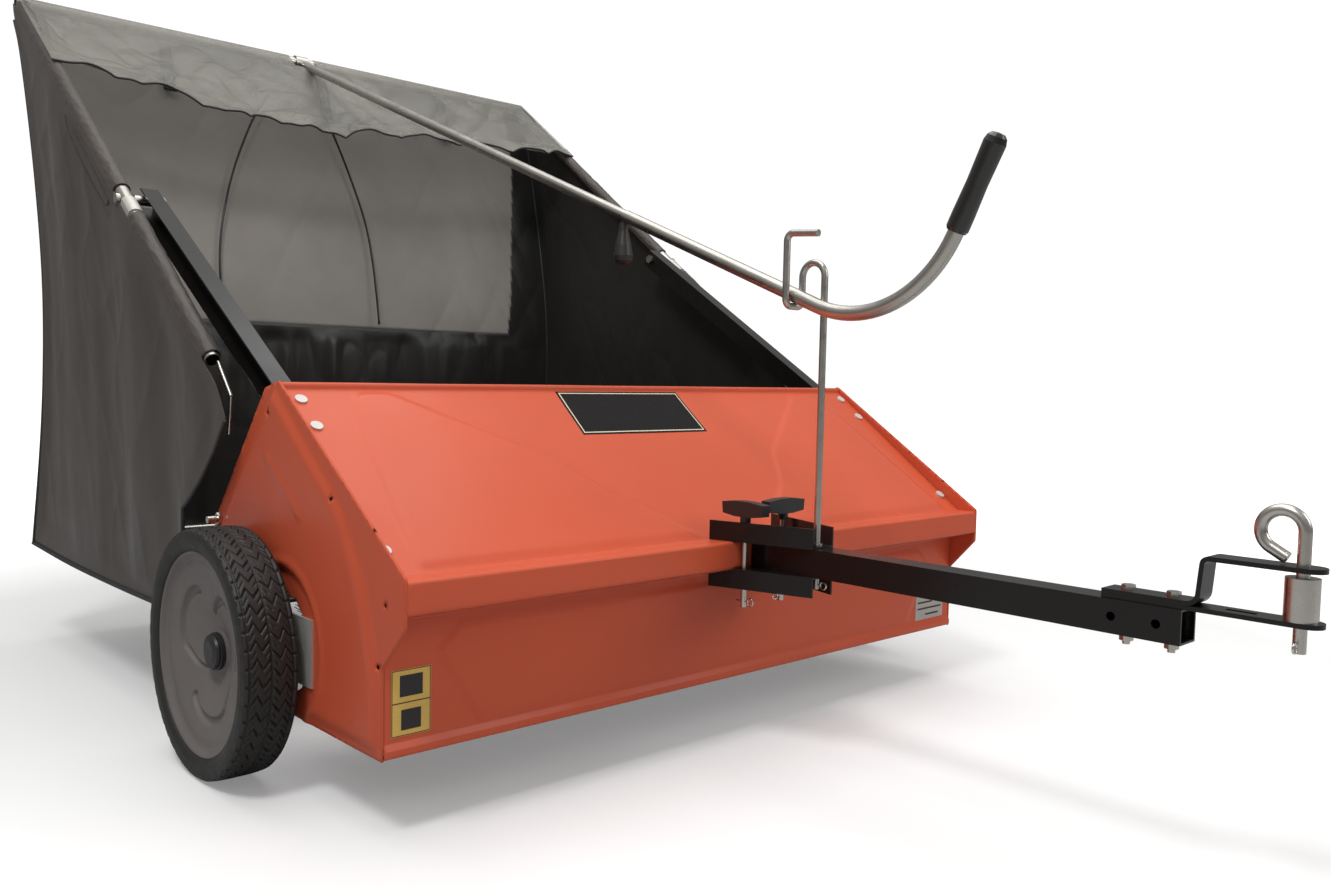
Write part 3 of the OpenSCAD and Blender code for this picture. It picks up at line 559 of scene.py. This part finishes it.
def make_films():
    badge = [[-146, -54], [114, -54], [125, 54], [-133, 54]]
    decal("badge_ground", badge, on_hood, 0.5, badge_film, "badge", ["badge_plate"])
    outline_decals("badge_line", badge, on_hood, 0.75, 3.5, 2.4, badge_line, "badge")
    label = [[-563, 118], [-511, 118], [-511, 196], [-563, 196]]
    decal("label_ground", label, on_front, 0.5, label_yellow, "label", ["front_label"])
    outline_decals("label_rim", label, on_front, 0.7, 0.6, 0.9, label_black, "label")
    for name, x0, x1, z0, z1 in (("divider", -562, -512, 156.4, 157.6), ("block_high", -552, -522, 164, 189),
            ("block_low", -550, -524, 125, 149)):
        decal(f"label_{name}", [[x0, z0], [x1, z0], [x1, z1], [x0, z1]], on_front, 0.7, label_black, "label")
    decal("sticker_ground", [[470, 114], [554, 114], [554, 156], [470, 156]], on_front, 0.5, label_silver, "label")
    for k, (x0, x1) in enumerate(((476, 520), (476, 548), (500, 540))):
        z = 146 - 11 * k
        decal(f"sticker_bar_{k}", [[x0, z - 3], [x1, z - 3], [x1, z], [x0, z]], on_front, 0.7, label_black, "label")


def filled_outline(outline, holes, spacing):
    """Triangles over an outline with round holes (centre, radius), with inner points for relief."""
    p = np.array(outline, float)
    loops = [p]
    for (cx, cy), r in holes:
        n = max(12, int(2 * math.pi * r / spacing))
        a = np.linspace(0, 2 * math.pi, n, endpoint=False)
        loops.append(np.stack([cx + r * np.cos(a), cy + r * np.sin(a)], axis=1))
    points, edges = [], []
    for loop in loops:
        start = len(points)
        points += list(loop)
        edges += [(start + i, start + (i + 1) % len(loop)) for i in range(len(loop))]
    gx, gy = np.meshgrid(np.arange(p[:, 0].min(), p[:, 0].max(), spacing),
        np.arange(p[:, 1].min(), p[:, 1].max(), spacing))
    clear = signed_distance(gx, gy, p) > spacing * 0.5
    for (cx, cy), r in holes:
        clear &= np.hypot(gx - cx, gy - cy) > r + spacing * 0.5
    points += list(np.stack([gx[clear], gy[clear]], axis=1))
    found = delaunay_2d_cdt([Vector(q) for q in points], edges, [], 0, 1e-5)
    flat, triangles = np.array([v[:] for v in found[0]]), np.array([f[:] for f in found[2]])
    middle = flat[triangles].mean(axis=1)
    keep = signed_distance(middle[:, 0], middle[:, 1], p) > 0
    for (cx, cy), r in holes:
        keep &= np.hypot(middle[:, 0] - cx, middle[:, 1] - cy) > r * math.cos(math.pi / 12)
    return flat, triangles[keep]


SIDE_OUTLINE = [[-1, 93], [-1, 200], [-51, 254], [-51, 310], [268, 521], [309, 511], [478, 318], [474, 240],
    [430, 96], [60, 93]]
MAIN_FACE = [[279, 505], [235, 472], [180, 431], [114, 384], [89, 358], [77, 339], [58, 312], [46, 291], [34, 264],
    [28, 242], [19, 215], [13, 193], [10, 159], [10, 106], [60, 106], [418, 110], [452, 240], [452, 312], [300, 486]]


def make_side_plate(side, name, node):
    outline = resample(np.array(SIDE_OUTLINE + SIDE_OUTLINE[:1], float), 360)[:-1]
    holes = [(tuple(BRUSH), 66), ((289, 479), 3.6), ((117, 383), 3.2), ((-7, 274), 3.2), ((8, 201), 3.2)]
    flat, triangles = filled_outline(outline, holes, 5.0)
    y, z = flat[:, 0], flat[:, 1]
    relief = 5.5 * smooth(-7, 8, signed_distance(y, z, MAIN_FACE))
    round_brush = np.hypot(y - BRUSH[0], z - BRUSH[1])
    recess = np.maximum(smooth(104, 92, round_brush), smooth(34, 24, np.hypot(y - WHEEL[0], z - WHEEL[1])))
    relief = relief * (1 - recess) + 1.8 * smooth(116, 109, round_brush) * smooth(98, 105, round_brush)
    bead_at = np.array([[294, 422], [197, 354]], float)
    along = bead_at[1] - bead_at[0]
    t = np.clip(((y - bead_at[0][0]) * along[0] + (z - bead_at[0][1]) * along[1]) / (along @ along), 0, 1)
    bead = np.hypot(y - bead_at[0][0] - t * along[0], z - bead_at[0][1] - t * along[1])
    relief += 2.0 * smooth(9, 0, bead)
    points = np.stack([side * (HALF_W + relief), y, z], axis=1)
    faces = [tuple(t) if side > 0 else tuple(reversed(t)) for t in triangles.tolist()]
    plate = piece(name, points, faces, orange, "chassis", "orange_paint", [node])
    return thicken(plate, 0.0025, -1.0)


make_hood()
make_films()
make_side_plate(-1, "side_sheet_left", "side_plate_left")
make_side_plate(1, "side_sheet_right", "side_plate_right")

dress(["rear_tie_rod", "pivot_bolts", "axles", "hitch_bolts", "hitch_nuts", "hitch_spacers", "hitch_pin",
    "knob_left_bolt", "knob_right_bolt", "brush_shaft", "hopper_rods", "bag_hooks"], zinc, 0.3)
dress(["bearing_carriers", "pivot_clamps"], galvanised, 0.6)
dress(["support_rod", "hopper_tube_left", "hopper_tube_right", "hopper_top_bar", "dump_tube_rear",
    "dump_tube_front"], tube_zinc)
dress(["support_rod_clip", "hitch_clip", "knob_left_clip", "knob_right_clip"], spring)
dress(["hood_screws"], screw_white, 0.5)
dress(["arm_left", "arm_right", "drawbar", "clamp_upper", "clamp_lower", "hitch_strap_lower", "hitch_strap_upper",
    "brush_core"], black, 0.8)
dress(["knob_left_grip", "knob_right_grip", "hub_cap_left", "hub_cap_right", "tube_joint_knob"], knob_black, 0.7)
dress(["wheel_bush_left", "wheel_bush_right"], nylon)
dress(["pinions"], gear_steel)
dress(["dump_grip"], grip_black)

# ---------- wheels ----------
def zigzag(t, knots):
    """Piecewise linear course of a groove across the tread, in tread periods."""
    return np.interp(t, [k[0] for k in knots], [k[1] for k in knots])


def tread_depth(angle, x):
    """How far the tread is cut in, from 0 to 1, at an angle and at x from the middle of the tyre."""
    count = 46
    w = np.abs(x) / 31.0
    outer = x > 0
    phase = angle / (2 * math.pi) * count + np.where(outer, 0.0, 0.5)
    pitch = 2 * math.pi * 164 / count
    course = [(0, 0.0), (0.36, -0.55), (0.58, 0.05), (0.82, -0.45), (1, -0.45)]
    cut = np.zeros(np.broadcast(angle, x).shape)
    gap = phase - zigzag(w, course)
    gap = np.abs(gap - np.round(gap)) * pitch
    cut = np.maximum(cut, smooth(2.5, 1.1, gap) * (w < 1.02) * (w > 0.02))
    sipe = phase + 0.5 - zigzag(w, course)
    sipe = np.abs(sipe - np.round(sipe)) * pitch
    cut = np.maximum(cut, 0.55 * smooth(1.5, 0.6, sipe) * (w > 0.62) * (w < 0.9))
    cut = np.maximum(cut, 0.55 * smooth(1.5, 0.6, sipe) * (w > 0.08) * (w < 0.26))
    cut = np.maximum(cut, smooth(2.3, 1.2, np.abs(x)))
    cut = np.maximum(cut, 0.8 * smooth(1.8, 0.9, np.abs(np.abs(x) - 27.5)))
    return cut


def make_tyre(name, node, body, turned):
    """A tyre whose outer side faces +X, or -X when turned."""
    half = 35.5
    crown = [[x, 164 - 1.6 * (abs(x) / 31) ** 3.2] for x in np.linspace(-31, 31, 76)]
    wall = fillet([[31, 162.4], [34.2, 160], [35.5, 152], [35.2, 144], [33, 138], [31, 134.4]], 3, 4)
    profile = [[r, x] for x, r in crown] + [[r, x] for x, r in wall[1:]]
    profile += [[134.4, x] for x in (20, 0, -20)] + [[r, -x] for x, r in wall[::-1]][:-1]
    profile = np.array(profile)
    count = 1012
    points, faces = revolve(profile, (0, 0), count)
    angle = np.linspace(0, 2 * math.pi, count, endpoint=False)[:, None]
    n = len(crown)
    cut = tread_depth(angle, profile[None, :n, 1])
    scale = 1 - 3.0 * cut / profile[None, :n, 0]
    points[:, :n, 1] *= scale
    points[:, :n, 2] *= scale
    lug = smooth(0.3, 0.75, np.sin(angle * 46)) * np.array([0.0, 0.6, 1.0, 0.7, 0.3, 0.0])[None, :]
    points[:, n:n + 6, 0] -= 0.8 * lug
    if turned:
        points[..., 0] *= -1
        points[..., 1] *= -1
    points += [(-1 if turned else 1) * (590 + half), WHEEL[0], WHEEL[1]]
    return piece(name, points, faces, rubber, body, "tyre_rubber", [node])


GROOVE = [(50, 97), (62, 84), (74, 70), (84, 62), (89, 50), (91, 34), (91, 16), (88, 2), (84, -6)]


def make_disc(name, node, body, turned):
    """The dished disc with its curved grooves, hub and rim barrel, as one spun and dented surface."""
    radii = np.concatenate([np.linspace(26, 122, 60), [125, 127, 129, 130.5, 132, 133.2, 134, 134.3, 134.2]])
    face = np.interp(radii, [26, 40, 112, 122, 127, 130.5, 133, 134.3],
        [32.5, 34.5, 55.5, 57.0, 60.5, 64.5, 66.0, 65.2])
    face += 2.5 * np.sin(np.clip((radii - 30) / 92, 0, 1) * math.pi)
    back = [[133.6, 6], [129, 5], [129, 50], [120, 51], [24, 26], [22, 2], [9.2, 2], [9.2, 36], [24, 36.5]]
    profile = np.array([[r, x] for r, x in zip(radii, face)] + back)
    count = 480
    points, faces = revolve(profile, (0, 0), count)
    angle = np.linspace(0, 2 * math.pi, count, endpoint=False)[:, None]
    n = len(radii)
    dent = np.zeros((count, n))
    path = curve([(r * math.cos(math.radians(a)), r * math.sin(math.radians(a))) for r, a in GROOVE], 60)
    u, v = radii[None, :] * np.cos(angle), radii[None, :] * np.sin(angle)
    for k in range(3):
        c, s = math.cos(2 * math.pi * k / 3), math.sin(2 * math.pi * k / 3)
        turned_path = path @ np.array([[c, s], [-s, c]])
        near = np.full(u.shape, 1e9)
        for t, (a, b) in enumerate(turned_path):
            width = 1.0 if t > 16 else 0.55 + 0.45 * t / 16
            near = np.minimum(near, np.hypot(u - a, v - b) / width)
        dent = np.maximum(dent, smooth(7.5, 2.5, near))
    points[:, :n, 0] -= 5.5 * dent
    points[..., 0] += 590
    if turned:
        points[..., 0] *= -1
        points[..., 1] *= -1
    points += [0, WHEEL[0], WHEEL[1]]
    return piece(name, points, faces, disc_grey, body, "wheel_plastic", [node])


def make_ring_gear(name, body, side):
    teeth, pitch_r = 56, 112
    a0 = math.radians(167.5)
    inner = []
    for i in range(teeth):
        a = a0 + 2 * math.pi * i / teeth
        w = math.pi / teeth
        inner += [(pitch_r - 3.4, a - w * 0.78), (pitch_r + 4.6, a - w * 0.38), (pitch_r + 4.6, a + w * 0.38),
            (pitch_r - 3.4, a + w * 0.78)]
    ring = []
    for r, a in inner:
        ring.append([(r, a, 593), (128.6, a, 593), (128.6, a, 605), (r, a, 605)])
    points = np.array([[(side * x, WHEEL[0] + r * math.cos(a), WHEEL[1] + r * math.sin(a)) for r, a, x in row]
        for row in ring])
    return piece(name, points, grid_faces(len(ring), 4, wrap_rows=True, wrap_cols=True), disc_grey, body,
        "wheel_plastic", flat=True)


for side, word, body in ((-1, "left", "wheel_left"), (1, "right", "wheel_right")):
    make_tyre(f"tread_tyre_{word}", f"tyre_{word}", body, side < 0)
    make_disc(f"dished_disc_{word}", f"wheel_disc_{word}", body, side < 0)
    make_ring_gear(f"ring_gear_{word}", body, side)


# ---------- brush ----------
def make_bristles():
    random = np.random.default_rng(11)
    parts = []
    for row in range(6):
        base = 2 * math.pi * row / 6
        for x in np.arange(-496, 497, 6.0):
            for k in range(5):
                root = base + random.uniform(-0.16, 0.16)
                lean = root + random.normal(0, 0.035)
                x0, x1 = x + random.uniform(-2.5, 2.5), x + random.normal(0, 5.0)
                tip = 144.5 - abs(random.normal(0, 2.2))
                parts.append((x0, root, 25.5, x1, lean, tip))
    rows = np.array(parts)
    ring = np.array([[0.0, 1.0], [0.87, -0.5], [-0.87, -0.5]])
    points = []
    for x_at, angle_at, r_at, size in ((0, 1, 2, 1.0), (3, 4, 5, 0.55)):
        a, r = rows[:, angle_at], rows[:, r_at]
        spin = np.stack([-np.sin(a), np.cos(a)], axis=1)
        centre = np.stack([np.cos(a), np.sin(a)], axis=1) * r[:, None] + BRUSH
        level = []
        for u, v in ring * size:
            yz = centre + spin * v
            level.append(np.stack([rows[:, x_at] + u, yz[:, 0], yz[:, 1]], axis=1))
        points.append(np.stack(level, axis=1))
    points = np.stack(points, axis=1)
    faces = []
    for i in range(len(rows)):
        s = 6 * i
        faces += [(s, s + 1, s + 4, s + 3), (s + 1, s + 2, s + 5, s + 4), (s + 2, s, s + 3, s + 5), (s, s + 2, s + 1),
            (s + 3, s + 4, s + 5)]
    return piece("bristles", points, faces, bristle_black, "brush", "bristle", ["brush_strips"], flat=True)


make_bristles()

# ---------- hopper bag ----------
BAG_X = 604.5
REAR = curve([[1402, 1236], [1393, 1205], [1352, 1120], [1286, 870], [1250, 655], [1256, 430], [1300, 186]], 161)
FRONT_TOP = np.array([364.5, 467.5])
BOTTOM_FRONT, BOTTOM_REAR = np.array([514.0, 180.0]), np.array([1300.0, 186.0])
FOLD_Z = 630.0
FRONT_SWEEP_R = 540


def rear_x(z):
    """Half width of the bag at its rear corners, drawn in a little at mid height."""
    return BAG_X - 11 * np.sin(np.clip((z - 186) / (1236 - 186), 0, 1) * math.pi)


def bag_folds(run, drop, seed):
    """How far a hanging side stands out, in mm, at run mm along and drop mm below its top edge."""
    warp = 40 * cloud(run / 380, drop / 520, seed) + 0.14 * drop
    folds = cloud((run + warp) / 125, drop / 1100 + 3, seed + 1) + 0.16 * cloud((run + warp) / 52, drop / 560, seed + 2)
    fine = creases((run - 0.5 * drop) / 90, (drop + 0.3 * run) / 240, seed + 3) - 0.4
    fine2 = creases((run + 0.7 * drop) / 110, (drop - 0.4 * run) / 170, seed + 4) - 0.4
    return 8.0 * folds + 1.5 * fine + 1.1 * fine2 + 0.25 * cloud(run / 22, drop / 60, seed + 5)


def make_side(side, name, node):
    top = np.concatenate([curve([FRONT_TOP, [398, 512], TUBE_FOOT + [0, -4]], 20)[:-1],
        resample([TUBE_FOOT + [0, -4], TOP_BAR + [-2, -6]], 200)])
    arc = [PIVOT + FRONT_SWEEP_R * np.array([math.cos(math.radians(a)), math.sin(math.radians(a))])
        for a in (218, 224, 230, 236, 240)]
    front = np.concatenate([np.array(arc), curve([arc[-1], [521, 250], BOTTOM_FRONT], 12)[1:]])
    bottom = curve([BOTTOM_FRONT, [760, 177], [1040, 178], BOTTOM_REAR], 60)
    rows, cols = 230, 150
    top, bottom = resample(top, rows), resample(bottom, rows)
    front = resample(front, cols)
    rear = resample(REAR, cols)
    rear = np.concatenate([[top[-1]], rear[1:]])
    u, v = np.linspace(0, 1, rows)[:, None, None], np.linspace(0, 1, cols)[None, :, None]
    flat = (1 - v) * top[:, None] + v * bottom[:, None] + (1 - u) * front[None] + u * rear[None]
    flat -= (1 - u) * (1 - v) * top[0] + u * (1 - v) * top[-1] + (1 - u) * v * bottom[0] + u * v * bottom[-1]
    y, z = flat[..., 0], flat[..., 1]
    uu, vv = u[..., 0], v[..., 0]
    drop = vv * np.linalg.norm(top - bottom, axis=1)[:, None]
    hold = smooth(0, 0.16, vv) * smooth(1.0, 0.93, vv) * smooth(1.0, 0.94, uu) * smooth(0, 0.05, uu)
    waist = 9 * np.sin(np.clip(vv, 0, 1) * math.pi) * smooth(0.2, 1, uu)
    x = BAG_X - waist + hold * bag_folds(y, drop, 40 if side < 0 else 60)
    y = y + hold * 3 * cloud(y / 90, drop / 200, 71)
    points = np.stack([side * x, y, z], axis=2)
    faces = grid_faces(rows, cols)
    if side > 0:
        faces = [tuple(reversed(f)) for f in faces]
    obj = piece(name, points, faces, side_cloth, "hopper", "hopper_cloth", [node])
    # The inner face of the side gets the darker cloth, painted shade.
    obj.data.materials.append(shaded_inner_cloth.material)
    thicken(obj, 0.0008, 0.0).modifiers["thickness"].material_offset = 1
    return front, bottom


def make_sleeve(side, name, start, end, gap_seed):
    """The cloth wrapped over the outside and top of a hopper tube, from start to end along it."""
    rows, cols = max(12, int(np.linalg.norm(end - start) / 5)), 26
    axis = resample([start, end], rows)
    a = np.radians(np.linspace(-25, 185, cols))[None, :]
    run = np.linspace(0, np.linalg.norm(end - start), rows)[:, None]
    r = TUBE_R + 1.6 + 0.9 * creases(run / 22, a * 3, gap_seed) + 0.5 * cloud(run / 9, a * 4, gap_seed + 1)
    out = np.cos(a) * r
    lift = np.sin(a) * r
    points = np.stack([side * (TUBE_X + out), axis[:, None, 0] + lift * ACROSS[0], axis[:, None, 1] + lift * ACROSS[1]],
        axis=2)
    faces = grid_faces(rows, cols)
    if side < 0:
        faces = [tuple(reversed(f)) for f in faces]
    obj = piece(name, points, faces, side_cloth, "hopper", "hopper_cloth")
    thicken(obj, 0.0008, 0.0)


def back_surface():
    rows, cols = 300, 190
    rear = resample(REAR, cols)
    w = np.linspace(-1, 1, rows)[:, None]
    z = np.broadcast_to(rear[None, :, 1], (rows, cols)).copy()
    x = w * rear_x(z)
    middle = 1 - w**2
    cloth = smooth(FOLD_Z + 12, FOLD_Z - 40, z)
    folds = 9 * cloud(x / 62 + 0.002 * z, z / 500, 21) + 4 * cloud(x / 27, z / 260, 22)
    folds += 1.6 * (creases(x / 40, z / 90, 23) - 0.4)
    net = 7.0 * cloud(x / 210, z / 330, 24) + 3.0 * (creases((x - 0.7 * z) / 120, (z + x) / 420, 25) - 0.4)
    net += 6.0 * (creases((x + 0.4 * z) / 85, z / 600, 26) - 0.4) * smooth(60, 420, x)
    hold = smooth(0, 0.06, 1 - np.abs(w)) * smooth(186, 215, z) * smooth(1236, 1180, z)
    seam = smooth(0, 30, np.abs(z - FOLD_Z))
    bulge = 12 * middle * smooth(186, 420, z) * smooth(1236, 1000, z)
    y = rear[None, :, 0] + bulge + hold * (cloth * folds * (0.25 + 0.75 * seam) + (1 - cloth) * net)
    return x, y, z


def make_back():
    x, y, z = back_surface()
    points = np.stack([x, y, z], axis=2)
    middle_x = (x[1:, 1:] + x[:-1, :-1]) / 2
    middle_z = (z[1:, 1:] + z[:-1, :-1]) / 2
    net = (middle_x > -548) & (middle_x < 535 - (1097 - middle_z) * 0.129) & (middle_z > FOLD_Z)
    for name, keep, look, slot, node, flat, area in (
            ("back_net_panel", net, back_net, "hopper_mesh", "bag_back_mesh", (1.10, 0.63), 0.66),
            # the cloth part takes the darkened back cloth, painted shade
            ("back_cloth_panel", ~net, back_cloth, "hopper_cloth", "bag_back_cloth", (1.21, 1.08), 0.63)):
        obj = piece(name, points, grid_faces(*x.shape, keep=keep), look, "hopper", slot, [node])
        thicken(obj, 0.0008, 0.0)


def make_floor():
    rows, cols = 150, 100
    w, t = np.linspace(-1, 1, rows)[:, None], np.linspace(0, 1, cols)[None, :]
    x = w * (BAG_X - 1) + 0 * t
    y = BOTTOM_FRONT[0] + t * (BOTTOM_REAR[0] - BOTTOM_FRONT[0]) + 0 * w
    z = (181 + 5 * t - 7 * np.sin(t * math.pi) * (1 - w**2)
        + 1.2 * cloud(x / 90, y / 90, 31) * smooth(0, 0.1, 1 - np.abs(w)))
    obj = piece("floor_panel", np.stack([x, y, z], axis=2), grid_faces(rows, cols), floor_cloth, "hopper",
        "hopper_cloth", ["bag_floor"])
    thicken(obj, 0.0012, 0.0)


def flap_surface(rows, cols, first=0.0, last=1.0):
    """The net over the top: round the bar, then down to its front edge in a slack curve."""
    w = np.linspace(-1, 1, rows)[:, None]
    t = np.linspace(first, last, cols)[None, :]
    x = w * (TUBE_X + 9) + 0 * t
    wrap_share = 0.16
    a = np.radians(np.interp(t, [0, wrap_share], [-20, 120])) + 0 * w
    r = TUBE_R + 1.6
    round_y, round_z = TOP_BAR[0] + r * np.cos(a), TOP_BAR[1] + r * np.sin(a)
    d = np.clip((t - wrap_share) / (1 - wrap_share), 0, 1)
    edge_dip = np.interp(x, [-604, -500, -416, -315, -213, -120, -36, 186, 400, 604],
        [0, 4, 12, 26, 43, 46, 40, 24, 10, 0])
    front_y, front_z = 1157.0, 1086.0
    start_y, start_z = TOP_BAR[0] + r * math.cos(math.radians(120)), TOP_BAR[1] + r * math.sin(math.radians(120))
    line_y = start_y + d * (front_y - start_y)
    line_z = start_z + d * (front_z - start_z)
    inner = smooth(0, 0.12, 1 - np.abs(w))
    sag = inner * (edge_dip * d**1.4 + (16 + 8 * cloud(x / 260, d * 2, 81)) * np.sin(d * math.pi))
    crumple = 10.5 * (creases((x - 220 * d) / 85, d * 2.6 + x / 300, 82) - 0.4)
    crumple += 9.5 * (creases((x + 260 * d) / 70, d * 2.2 - x / 260, 83) - 0.4)
    crumple += 8.0 * (creases(x / 170, d * 7, 84) - 0.4) * smooth(0.55, 0.85, d)
    crumple += 3.2 * cloud(x / 34, d * 6, 85)
    sag = sag + inner * crumple * smooth(0, 0.25, d)
    z = line_z - sag
    y = line_y + inner * 6 * cloud(x / 120, d * 2, 86) * smooth(0.5, 1, d)
    wrapped = t < wrap_share
    return x, np.where(wrapped, round_y, y), np.where(wrapped, round_z, z), d


def make_flap():
    rows, cols = 360, 96
    x, y, z, d = flap_surface(rows, cols)
    middle_x = (x[1:, 1:] + x[:-1, :-1]) / 2
    t = np.linspace(0, 1, cols)[None, 1:]
    notch = (np.abs(middle_x + 18) < 30) & (t < 0.30)
    obj = piece("flap_net_panel", np.stack([x, y, z], axis=2), grid_faces(rows, cols, keep=~notch), flap_net, "hopper",
        "hopper_mesh", ["bag_flap"])
    thicken(obj, 0.0006, 0.0)

    x, y, z, d = flap_surface(rows, 14, 0.90, 1.0)
    roll = np.linspace(0, 1, 14)[None, :]
    z = z + 1.6 - 3.0 * roll
    obj = piece("flap_hem", np.stack([x, y - 1.5 * roll, z], axis=2), grid_faces(rows, 14), flap_net, "hopper",
        "hopper_mesh")
    thicken(obj, 0.0008, 0.0)
    edge = np.stack([x[:, -1], y[:, -1] - 2, z[:, -1]], axis=1)
    piece("flap_edge_cord", *tube(edge[::2], 2.2, 8), piping_cloth, "hopper", "hopper_cloth")


def make_tab(name, x):
    """A short webbing loop that hangs inside from the top bar."""
    path = curve([[1386, 1220], [1376, 1205], [1366, 1180], [1350, 1135], [1341, 1108]], 24)
    wide = np.linspace(-13, 13, 7)[:, None]
    points = np.stack([x + wide + 0 * path[None, :, 0], path[None, :, 0] - 6 + 0 * wide,
        path[None, :, 1] + 0 * wide], axis=2)
    obj = piece(name, points, grid_faces(7, 24), webbing, "hopper", "hopper_cloth")
    thicken(obj, 0.0016, 0.0)


sides = {}
for side, word in ((-1, "left"), (1, "right")):
    sides[side] = make_side(side, f"side_panel_{word}", f"bag_side_{word}")
    make_sleeve(side, f"sleeve_upper_{word}", PIVOT + 26 * ALONG, TOP_BAR - 14 * ALONG, 90 + side)
    make_sleeve(side, f"sleeve_lower_{word}", TUBE_FOOT + 6 * ALONG, PIVOT - 60 * ALONG, 95 + side)
make_back()
make_floor()
make_flap()
make_tab("hanger_tab_left", -329)
make_tab("hanger_tab_middle", 22)
make_tab("hanger_tab_right", 340)


def make_piping():
    parts = []
    for side in (-1, 1):
        front, bottom = sides[side]
        rear = resample(REAR, 120)[4:]
        parts.append(tube(np.stack([side * (rear_x(rear[:, 1]) + 1), rear[:, 0] + 1, rear[:, 1]], axis=1), 3.0, 8))
        low = np.stack([np.full(len(bottom), side * (BAG_X + 1)), bottom[:, 0], bottom[:, 1] - 1], axis=1)
        parts.append(tube(low, 4.6, 10, 0.8))
        parts.append(tube(np.stack([np.full(len(front), side * BAG_X), front[:, 0], front[:, 1]], axis=1)[1:], 3.0, 8))
    back = np.array([[x, BOTTOM_REAR[0] + 1 + 0.6 * math.sin(x / 40), BOTTOM_REAR[1] - 1]
        for x in np.linspace(-BAG_X, BAG_X, 80)])
    parts.append(tube(back, 4.6, 10, 0.8))
    lip = np.array([[x, BOTTOM_FRONT[0], BOTTOM_FRONT[1]] for x in np.linspace(-BAG_X, BAG_X, 80)])
    parts.append(tube(lip, 3.6, 8))
    piece("bag_piping", *joined(parts), piping_cloth, "hopper", "hopper_cloth")


def make_stays():
    left = [(-120, 1344, 1135), (-158, 1334, 1074), (-208, 1309, 963), (-241, 1285, 858), (-255, 1270, 781),
        (-259, 1257, 715), (-257, 1246, 640)]
    right = [(6, 1344, 1135), (35, 1334, 1069), (65, 1313, 977), (90, 1291, 879), (99, 1273, 796), (102, 1255, 705),
        (104, 1246, 640)]
    parts = [tube(curve([(x, y - 6, z) for x, y, z in path], 60), 2.4, 10) for path in (left, right)]
    piece("curved_stays", *joined(parts), fibre, "hopper", "stay_plastic", ["bag_stays"])


def make_seams():
    """The stitched loop at the top of each side, which ends the tube's sleeve."""
    loop = curve([(1056, 976), (1036, 946), (940, 868), (856, 809), (830, 798), (838, 818), (930, 890), (1025, 960)], 90)
    parts = [tube(np.stack([np.full(90, side * 608.0), loop[:, 0], loop[:, 1] - 6], axis=1), 1.1, 6)
        for side in (-1, 1)]
    piece("side_seams", *joined(parts), piping_cloth, "hopper", "hopper_cloth")


make_piping()
make_stays()
make_seams()
